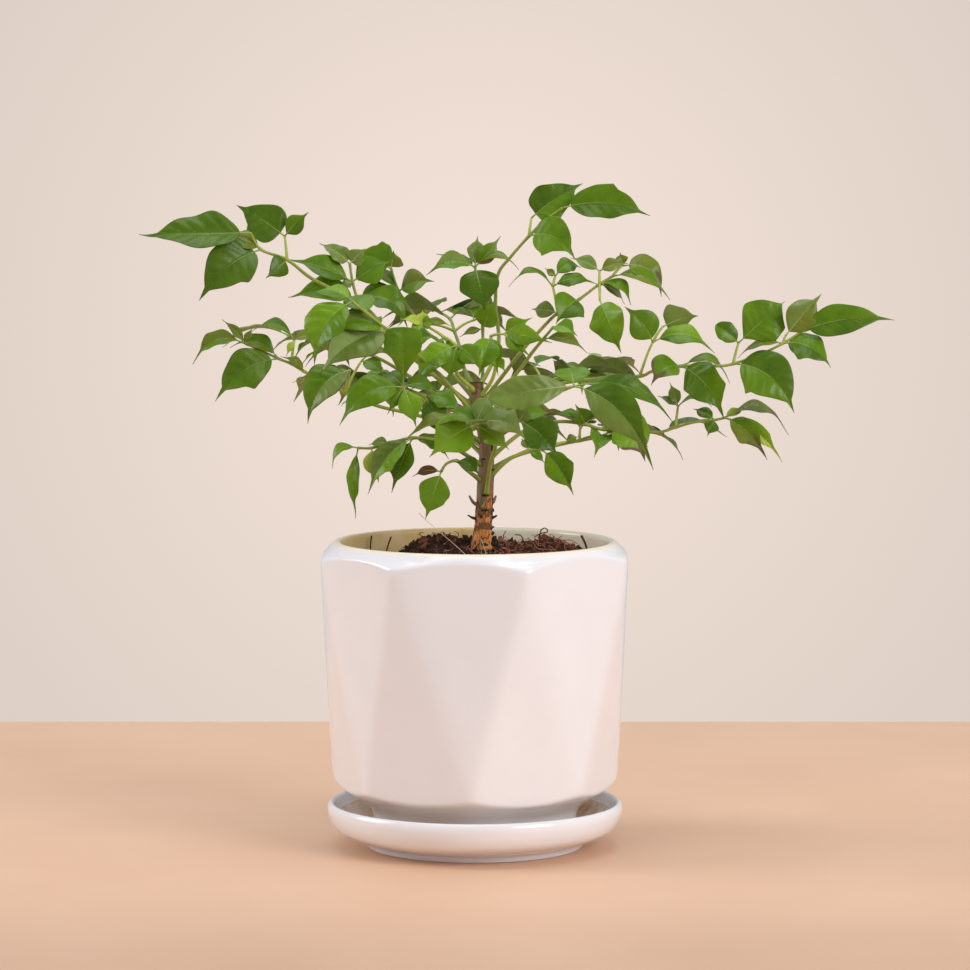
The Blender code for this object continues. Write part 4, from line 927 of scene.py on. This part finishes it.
def make_stems(plants, looks):
    """Every frond's petiole, rachis and stalks, swollen at the nodes."""
    shape = Shape()
    for plant in plants:
        path, nodes = plant["path"], plant["nodes"]
        run = smooth_line(rooted_path(plant), 1.2)
        lengths = np.cumsum([0.0] + [(after - before).length for before, after in zip(run, run[1:])])
        cut = min(range(len(run)), key=lambda k: (run[k] - path[plant["cut"]]).length)
        carried = {item["node"] for item in plant["leaves"]} | {s[0] for s in plant["stalks"]}
        swollen = [path[n] for n in carried if n < len(path)]
        marks = (0.0, lengths[cut], lengths[-1])
        radii = []
        for place, length in zip(run, lengths):
            radius = np.interp(length, marks, (PETIOLE_RADIUS, RACHIS_RADIUS, RACHIS_TIP_RADIUS))
            radius *= 1.0 + 0.45 * math.exp(-length / 2.0)
            nearest = min((place - node).length for node in swollen)
            radii.append(radius * (1.0 + 0.28 * math.exp(-(nearest / 1.3) ** 2)))
        look = 0 if plant["name"] in ("young", "centre", "front_centre", "low_right") else 1
        add_tube(shape, run, radii, 10, look)
        shares = np.linspace(0.0, 1.0, STALK_STEPS + 1)
        for (node, *_), end in zip(plant["stalks"], nodes[len(path):]):
            bow = UP * (0.24 * (end - nodes[node]).length)
            stalk = [nodes[node].lerp(end, share) + bow * share * (1.0 - share) for share in shares]
            add_tube(shape, stalk, STALK_RADIUS * (1.25 - 0.35 * shares), 8)
    obj = shape.built("stems", looks)
    put_on(obj, "stem_green", *[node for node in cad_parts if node.startswith("petiole_")])


def half_width(t, form):
    """Half width of a blade as a share of its widest, from its base at 0 to its tip at 1."""
    base, end, body = form
    share = np.minimum(t / body, 1.0)
    widest = base / (base + end)
    ovate = (share / widest) ** base * ((1.0 - share) / (1.0 - widest)) ** end
    return np.where(t > 0.5, np.maximum(ovate, LEAF_TAIL * (1.0 - t) * (body < 0.95)), ovate)


def half_thickness(t, v):
    """Half the thickness of a blade: less towards its tip and its margins."""
    return (LEAF_THICK * (1.0 - v ** 4) * (1.0 - 0.6 * t) + LEAF_EDGE_THICK) * 0.5


def seeded_teeth(length, chance):
    """Up to two teeth on a larger blade: where, on which side, and how far they stand out."""
    if length < 15.0:
        return ()
    return tuple((chance.uniform(0.35, 0.66), chance.choice((-1, 1)), chance.uniform(0.06, 0.22))
                 for _ in range(chance.choice((0, 1, 1, 2))))


class Blade:
    """The curved surface of one leaflet, read at shares along it and across it."""

    def __init__(self, base, item, chance):
        reach = np.array(item["reach"])
        self.base = np.array(base)
        self.length = float(np.linalg.norm(reach))
        self.along = reach / self.length
        faces = np.array(item["faces"])
        normal = faces - self.along * faces.dot(self.along)
        normal /= np.linalg.norm(normal)
        self.side = np.cross(self.along, normal)
        lift = np.array(UP) - self.along * self.along[2]
        self.bow = (normal * item["arch"] + lift * item["rise"]) * 4.0
        self.curl = normal * chance.uniform(-0.09, 0.03) - np.array(UP) * item["droop"]
        self.wide = item["wide"]
        self.fold = chance.uniform(0.2, 0.55)
        self.cup = chance.uniform(0.0, 0.25)
        self.wave = chance.uniform(0.03, 0.12)
        self.waves = chance.uniform(1.6, 3.2)
        self.turns = (chance.uniform(0.0, 6.3), chance.uniform(0.0, 6.3))
        self.twist = chance.uniform(-0.3, 0.3)
        self.pucker = chance.uniform(0.05, 0.1)
        self.teeth = seeded_teeth(self.length, chance)
        form = FORMS[item["form"] or chance.choice(COMMON_FORMS)]
        self.form = [value * chance.uniform(0.93, 1.07) for value in form[:2]] + [form[2]]
        if item["teeth"] is not None:
            self.teeth = item["teeth"]
        if item["fold"] is not None:
            self.fold = item["fold"]

    def spine(self, share):
        """Points on the midrib and their tangents, from 0 at the node to 1 at the tip."""
        share = np.asarray(share, float)[:, None]
        end = np.maximum(share - CURL_FROM, 0.0) / (1.0 - CURL_FROM)
        place = self.base + self.length * (self.along * share + self.bow * share * (1.0 - share)
                                           + self.curl * end * end * (1.0 - end) * 2.0)
        way = self.along + self.bow * (1.0 - 2.0 * share)
        return place, way / np.linalg.norm(way, axis=1)[:, None]

    def at(self, t, v):
        """Points and upward normals at shares t along the blade and v across it, -1 to 1."""
        place, way = self.spine(LEAF_STALK_SHARE + (1.0 - LEAF_STALK_SHARE) * t)
        side = self.side - way * (way @ self.side)[:, None]
        side /= np.linalg.norm(side, axis=1)[:, None]
        facing = np.cross(side, way)
        turned = self.twist * (t - 0.3)[:, None]
        side, facing = (side * np.cos(turned) + facing * np.sin(turned),
                        facing * np.cos(turned) - side * np.sin(turned))
        half = np.maximum(self.wide * 0.5 * half_width(t, self.form), 0.12)
        turn = np.where(v > 0.0, self.turns[0], self.turns[1])
        ripple = OUTLINE_RIPPLE * self.wave * np.sin(2.0 * np.pi * OUTLINE_WAVES * t + 2.0 * turn)
        half = half * (1.0 + ripple)
        for where, hand, size in self.teeth:
            gap = (t - where) / TOOTH_SPREAD
            tooth = np.where(gap < 0.0, np.clip(1.0 + gap, 0.0, 1.0) ** 1.7,
                             np.clip(1.0 - gap / 0.45, 0.0, 1.0))
            half = half + self.wide * 0.5 * size * tooth * (np.sign(v) == hand)
        spread = np.abs(v)
        crease = np.abs(np.sin(np.pi * LATERAL_VEINS * (t - VEIN_SLANT * spread))) - 0.64
        height = (self.fold * spread - self.cup * spread ** 2
                  + self.wave * spread ** 2 * np.sin(2.0 * np.pi * self.waves * t + turn)
                  + self.pucker * crease * np.minimum(1.0, 4.0 * spread * (1.0 - spread)))
        return place + side * (v * half)[:, None] + facing * (height * half)[:, None], facing


def tone_looks(tone, t, v, chance):
    """Which look each face of a blade has, from the letters of its tone."""
    body, _, end = tone.partition("/")
    brown = TONE_LETTERS.index("p")
    # Two letters paint shade on one half of a folded blade and gloss or sheen on the other.
    left, right = [TONE_LETTERS.index(letter) for letter in (body * 2)[:2]]
    looks = np.where(v < 0.0, left, right)
    if end:
        looks = np.where(t > 0.62 + 0.1 * np.sin(v * 5.0), TONE_LETTERS.index(end), looks)
    if chance.random() < BROWN_TIPS:
        looks = np.where(t > chance.uniform(0.9, 0.97), brown, looks)
    if chance.random() < BROWN_MARGINS:
        looks = np.where(np.abs(v) > MARGIN_SHARE, brown, looks)
    return looks


def add_blade(shape, blade, tone, chance):
    """The closed thin body of a leaflet's blade."""
    rows = int(min(44, max(16, round(1.25 * blade.length))))
    columns = 2 * int(min(8, max(4, round(blade.wide / 2.0)))) + 3
    even = np.linspace(0.0, 1.0, rows)
    marks = even * 0.45 + (0.5 - 0.5 * np.cos(np.pi * even)) * 0.55
    inner = np.linspace(-MARGIN_SHARE, MARGIN_SHARE, columns - 2)
    t, v = np.meshgrid(marks, np.concatenate(([-1.0], inner, [1.0])), indexing="ij")
    t, v = t.ravel(), v.ravel()
    middle, facing = blade.at(t, v)
    lift = facing * half_thickness(t, v)[:, None]
    count = rows * columns
    quads = grid_faces(rows, columns)
    looks = tone_looks(tone, t[quads].mean(axis=1), v[quads].mean(axis=1), chance)
    dead, under = TONE_LETTERS.index("n"), TONE_LETTERS.index("u")
    first = shape.count
    shape.add(np.concatenate([middle + lift, middle - lift]), quads, looks)
    shape.add_faces(quads[:, ::-1] + count + first, np.where(looks == dead, dead, under))
    i, j = np.arange(rows - 1) * columns, np.arange(columns - 1)
    left = np.stack([i, i + columns, i + columns + count, i + count], axis=1)
    right = np.stack([i + columns, i, i + count, i + columns + count], axis=1) + columns - 1
    near = np.stack([j + 1, j, j + count, j + 1 + count], axis=1)
    far = np.stack([j, j + 1, j + 1 + count, j + count], axis=1) + (rows - 1) * columns
    shape.add_faces(np.concatenate([left, right, near, far]) + first, looks[0], False)


def add_veins(shape, blade, look):
    """A leaflet's stalk and midrib, and on a larger blade the veins that leave it."""
    count = int(max(12, blade.length / 1.2))
    for first, last, lighter in ((0.0, 0.5, 0), (0.5, 0.9, 1)):
        share = np.linspace(first, last, count)
        place, _ = blade.spine(share)
        stalk = np.clip(share / LEAF_STALK_SHARE, 0.0, 1.0)
        radii = LEAF_STALK_RADIUS * (1.15 - 0.4 * stalk) * (1.0 - 0.85 * share)
        add_tube(shape, place, np.minimum(radii, 0.05 * blade.wide + 0.06), 6, look + lighter)
    if blade.length < VEINED_LENGTH:
        return
    spread = np.linspace(0.02, 0.8, 9)
    for k in range(1, LATERAL_VEINS - 1):
        t = k / LATERAL_VEINS + VEIN_SLANT * spread
        for hand in (-1.0, 1.0):
            points, facing = blade.at(t, spread * hand)
            points = points + facing * (half_thickness(t, spread) + 0.01)[:, None]
            add_tube(shape, points, np.linspace(0.12, 0.06, 9), 4, look + 1)


def make_foliage(plants, leaf_looks, vein_looks):
    """Every leaflet of every frond, joined by the side of the plant it is on."""
    leaves = {}
    veins = Shape()
    for plant in plants:
        side = plant["name"].split("_")[0]
        group = "leaves_" + (side if side in ("left", "right", "back") else "centre")
        shape, masses = leaves.setdefault(group, (Shape(), []))
        masses.append("foliage_" + plant["name"])
        for index, item in enumerate(plant["leaves"]):
            chance = random.Random(plant["name"] + str(index))
            dealt = chance.choice(COMMON_TONES)
            tone = item["tone"] or dealt
            blade = Blade(plant["nodes"][item["node"]], item, chance)
            add_blade(shape, blade, tone, chance)
            add_veins(veins, blade, 2 if tone[0] in "slu" else 4 if tone[0] in "by" else 0)
    for name, (shape, masses) in leaves.items():
        put_on(shape.built(name, leaf_looks), "leaf_green", *masses)
    put_on(veins.built("leaf_veins", vein_looks), "leaf_green")


def linear(red, green, blue):
    """A display colour of 0 to 255 as the linear colour that a shader takes."""
    return tuple((value / 255 / 12.92) if value < 10 else ((value / 255 + 0.055) / 1.055) ** 2.4
                 for value in (red, green, blue)) + (1.0,)


def set_inputs(tree, node, inputs):
    """Give a node's inputs their values, or a link where the value is another node's output."""
    for name, value in inputs.items():
        if isinstance(value, bpy.types.NodeSocket):
            tree.links.new(value, node.inputs[name])
        else:
            node.inputs[name].default_value = value


def add_node(tree, kind, inputs, **settings):
    """A shader node with its settings and its inputs."""
    node = tree.nodes.new(kind)
    for name, value in settings.items():
        setattr(node, name, value)
    set_inputs(tree, node, inputs)
    return node


def add_ramp(tree, value, colours, first, last):
    """The colour at a value, on a ramp of colours at even places between two values."""
    ramp = add_node(tree, "ShaderNodeValToRGB", {"Fac": value})
    stops = ramp.color_ramp.elements
    while len(stops) < len(colours):
        stops.new(0.5)
    for index, place in enumerate(np.linspace(first, last, len(colours))):
        stops[index].position = place
        stops[index].color = linear(*colours[index])
    return ramp.outputs["Color"]


def finish(name, colours, scale, roughness, bump=0.0, fine=900.0, stretch=(1.0, 1.0, 1.0),
           specular=0.5, coat=0.0, roughness_spread=0.06):
    """A material whose colour drifts between its tones in soft patches, with a fine relief."""
    made = bpy.data.materials.new(name)
    made.use_nodes = True
    tree = made.node_tree
    place = add_node(tree, "ShaderNodeTexCoord", {}).outputs["Object"]
    place = add_node(tree, "ShaderNodeMapping", {"Vector": place, "Scale": stretch}).outputs["Vector"]
    patches = add_node(tree, "ShaderNodeTexNoise", {
        "Vector": place, "Scale": scale, "Detail": 5.0, "Roughness": 0.6}).outputs["Fac"]
    spread = add_node(tree, "ShaderNodeMapRange", {
        "Value": patches, "To Min": roughness - roughness_spread,
        "To Max": roughness + roughness_spread}).outputs["Result"]
    shader = tree.nodes["Principled BSDF"]
    set_inputs(tree, shader, {
        "Base Color": add_ramp(tree, patches, colours, 0.34, 0.66), "Roughness": spread,
        "Specular IOR Level": specular, "Coat Weight": coat, "Coat Roughness": 0.12})
    if bump:
        grain = add_node(tree, "ShaderNodeTexNoise", {"Vector": place, "Scale": fine, "Detail": 3.0})
        relief = add_node(tree, "ShaderNodeBump", {
            "Height": grain.outputs["Fac"], "Strength": 1.0, "Distance": bump * MM})
        set_inputs(tree, shader, {"Normal": relief.outputs["Normal"]})
    return made


def make_object():
    glaze = finish("glaze", ((240, 240, 246), (243, 243, 249)), 30.0, 0.16, 0.012, 60.0, coat=0.4,
                   roughness_spread=0.02)
    cream = finish("glaze_thin", ((248, 236, 212), (250, 242, 226)), 60.0, 0.2, 0.05, 90.0, coat=0.3,
                   roughness_spread=0.03)
    # Tan of the left half of the pot's inner wall: a stain, darkened as painted shade.
    tan = finish("inner_stain_and_painted_shade", ((228, 190, 124), (248, 222, 170)), 60.0, 0.5, 0.08, 300.0)
    stained = finish("glaze_stained", ((172, 126, 78), (214, 184, 146), (240, 230, 216)), 70.0,
                     0.2, 0.05, 90.0, coat=0.3, roughness_spread=0.03)
    earth_looks = [finish("soil_" + name, colours, 500.0, 0.93, 0.3, 2500.0, specular=0.2)
                   for name, *colours in (("dark", (36, 24, 17), (74, 48, 35)),
                                          ("brown", (70, 43, 30), (108, 70, 50)),
                                          ("red", (104, 56, 40), (142, 84, 62)))]
    fibre_looks = [finish("fibre_" + name, colours, 300.0, roughness, 0.05, specular=0.2)
                   for name, roughness, *colours in (("red", 0.85, (150, 90, 68), (200, 142, 114)),
                                                     ("dark", 0.85, (40, 26, 20), (66, 44, 34)),
                                                     ("pale", 0.7, (196, 168, 138), (222, 200, 172)))]
    bark_looks = [finish("bark_" + name, colours, 420.0, roughness, bump, 1800.0, (1.0, 1.0, 0.3))
                  for name, roughness, bump, *colours in (
                      ("tan", 0.85, 0.25, (198, 118, 54), (226, 154, 86)),
                      ("brown", 0.85, 0.25, (104, 66, 38), (140, 96, 58)),
                      ("dark", 0.9, 0.25, (34, 26, 22), (66, 52, 42)),
                      ("olive", 0.7, 0.15, (126, 94, 66), (154, 122, 90)),
                      ("green", 0.65, 0.12, (112, 94, 68), (140, 120, 92)))]
    bark_looks.append(finish("shoot_green", ((148, 160, 78), (176, 186, 104)), 420.0, 0.5, 0.05, 1800.0))
    stem_looks = [finish("stem_" + name, colours, 110.0, 0.42, 0.06, 1500.0)
                  for name, *colours in (("fresh", (148, 166, 58), (180, 194, 88)),
                                         ("green", (118, 138, 46), (158, 170, 72)))]
    leaf_looks = [finish("leaf_" + name, colours, 110.0, roughness, 0.04, 1400.0, specular=0.24)
                  for name, *colours, roughness in TONES.values()]
    vein_looks = [finish("vein_" + name, colours, 200.0, 0.42)
                  for name, *colours in (("light", (126, 152, 54), (144, 168, 72)),
                                         ("green", (94, 126, 26), (108, 138, 38)),
                                         ("pale", (150, 168, 96), (166, 184, 114)),
                                         # The vein for blades of the s tone is painted sheen as well.
                                         ("painted_sheen", (126, 142, 82), (142, 158, 98)),
                                         ("young", (156, 178, 76), (172, 192, 96)),
                                         ("bright", (120, 154, 42), (134, 166, 58)))]
    make_pot(glaze, cream, tan)
    make_saucer(glaze, stained)
    make_soil_bed(earth_looks[0])
    make_soil_crumbs(earth_looks)
    make_soil_fibres(fibre_looks)
    make_trunk(bark_looks)
    make_trunk_bits(bark_looks)
    plants = [frond(*row) for row in SHOWN_FRONDS] + [grown_frond(*row) for row in HIDDEN_FRONDS]
    make_stems(plants, stem_looks)
    make_foliage(plants, leaf_looks, vein_looks)


# The stage, in metres
TABLE_BACK = 0.333
TABLE_FRONT = -0.9
TABLE_HALF = 1.1
# How dark the painted shade makes the front of the table
TABLE_FRONT_SHADE = 0.8
AMBIENT = 0.5
# The backdrop's painted pool of light: where it is brightest, and its colours from there outwards
WALL_GLOW = (0.0, 0.9989, -0.046)
WALL_COLOURS = ((242, 225, 214), (221, 207, 197))
CAMERA_LENS = 148.8
CAMERA_PLACE = (0.0039, -1.55, 0.273)
CAMERA_DOWN = 4.87

# Square lights: the place, the height aimed at, the size, the power and the colour of each
LIGHTS = {
    "key": ((1.05, -0.95, 0.75), 0.12, 0.7, 11.5, (1.0, 0.99, 0.99)),
    "fill": ((-1.4, 0.1, 0.75), 0.12, 0.7, 9.0, (0.99, 0.99, 1.0)),
    "top": ((0.0, 0.1, 1.5), 0.15, 1.0, 7.5, (1.0, 0.99, 0.99)),
}


def make_table():
    """A plain pale table top, a little darker in front, where the darkening is painted shade."""
    top = finish("table", ((224, 183, 152), (229, 190, 160)), 9.0, 0.5)
    tree = top.node_tree
    shader = tree.nodes["Principled BSDF"]
    tone = shader.inputs["Base Color"].links[0].from_socket
    place = add_node(tree, "ShaderNodeTexCoord", {}).outputs["Object"]
    parts = add_node(tree, "ShaderNodeSeparateXYZ", {"Vector": place})
    shade = add_node(tree, "ShaderNodeMapRange", {
        "Value": parts.outputs["Y"], "From Min": -0.26, "From Max": -0.06,
        "To Min": TABLE_FRONT_SHADE}, interpolation_type="SMOOTHSTEP")
    mixed = add_node(tree, "ShaderNodeVectorMath", {0: tone, "Scale": shade.outputs["Result"]},
                     operation="SCALE")
    set_inputs(tree, shader, {"Base Color": mixed.outputs["Vector"]})
    left, right, front, back = (value / MM for value in (-TABLE_HALF, TABLE_HALF, TABLE_FRONT, TABLE_BACK))
    shape = Shape()
    shape.add([(left, front, 0.0), (right, front, 0.0), (right, back, 0.0), (left, back, 0.0)],
              [(0, 1, 2, 3)])
    shape.built("table_top", [top])


def make_studio():
    """Soft plain light from all round, from both sides and above, and a pale backdrop whose
    painted pool of light is brightest behind the plant.
    """
    world = bpy.data.worlds.new("studio")
    bpy.context.scene.world = world
    world.use_nodes = True
    tree = world.node_tree
    ambient = tree.nodes["Background"]
    set_inputs(tree, ambient, {"Color": (1.0, 0.98, 0.97, 1.0), "Strength": AMBIENT})
    way = add_node(tree, "ShaderNodeTexCoord", {}).outputs["Generated"]
    apart = add_node(tree, "ShaderNodeVectorMath", {0: way, 1: WALL_GLOW}, operation="DISTANCE")
    glow = add_ramp(tree, apart.outputs["Value"], WALL_COLOURS, 0.02, 0.15)
    backdrop = add_node(tree, "ShaderNodeBackground", {"Color": glow})
    seen = add_node(tree, "ShaderNodeLightPath", {}).outputs["Is Camera Ray"]
    both = add_node(tree, "ShaderNodeMixShader", {
        "Fac": seen, 1: ambient.outputs["Background"], 2: backdrop.outputs["Background"]})
    set_inputs(tree, tree.nodes["World Output"], {"Surface": both.outputs["Shader"]})
    for name, (place, aim, size, power, colour) in LIGHTS.items():
        light = bpy.data.lights.new(name, "AREA")
        light.shape = "SQUARE"
        light.size = size
        light.energy = power
        light.color = colour
        obj = placed(name, light)
        obj.location = place
        obj.rotation_mode = "QUATERNION"
        obj.rotation_quaternion = (UP * aim - Vector(place)).to_track_quat("-Z", "Y")
    bpy.context.scene.view_settings.view_transform = "Standard"


def make_camera():
    """The photo's camera: far off, a little higher than the crown and tilted a little down."""
    data = bpy.data.cameras.new("camera")
    data.sensor_width = 36.0
    data.lens = CAMERA_LENS
    data.clip_start = 0.05
    data.clip_end = 20.0
    camera = placed("camera", data)
    camera.location = CAMERA_PLACE
    camera.rotation_euler = (math.radians(90.0 - CAMERA_DOWN), 0.0, 0.0)
    bpy.context.scene.camera = camera


make_object()
make_table()
make_studio()
make_camera()
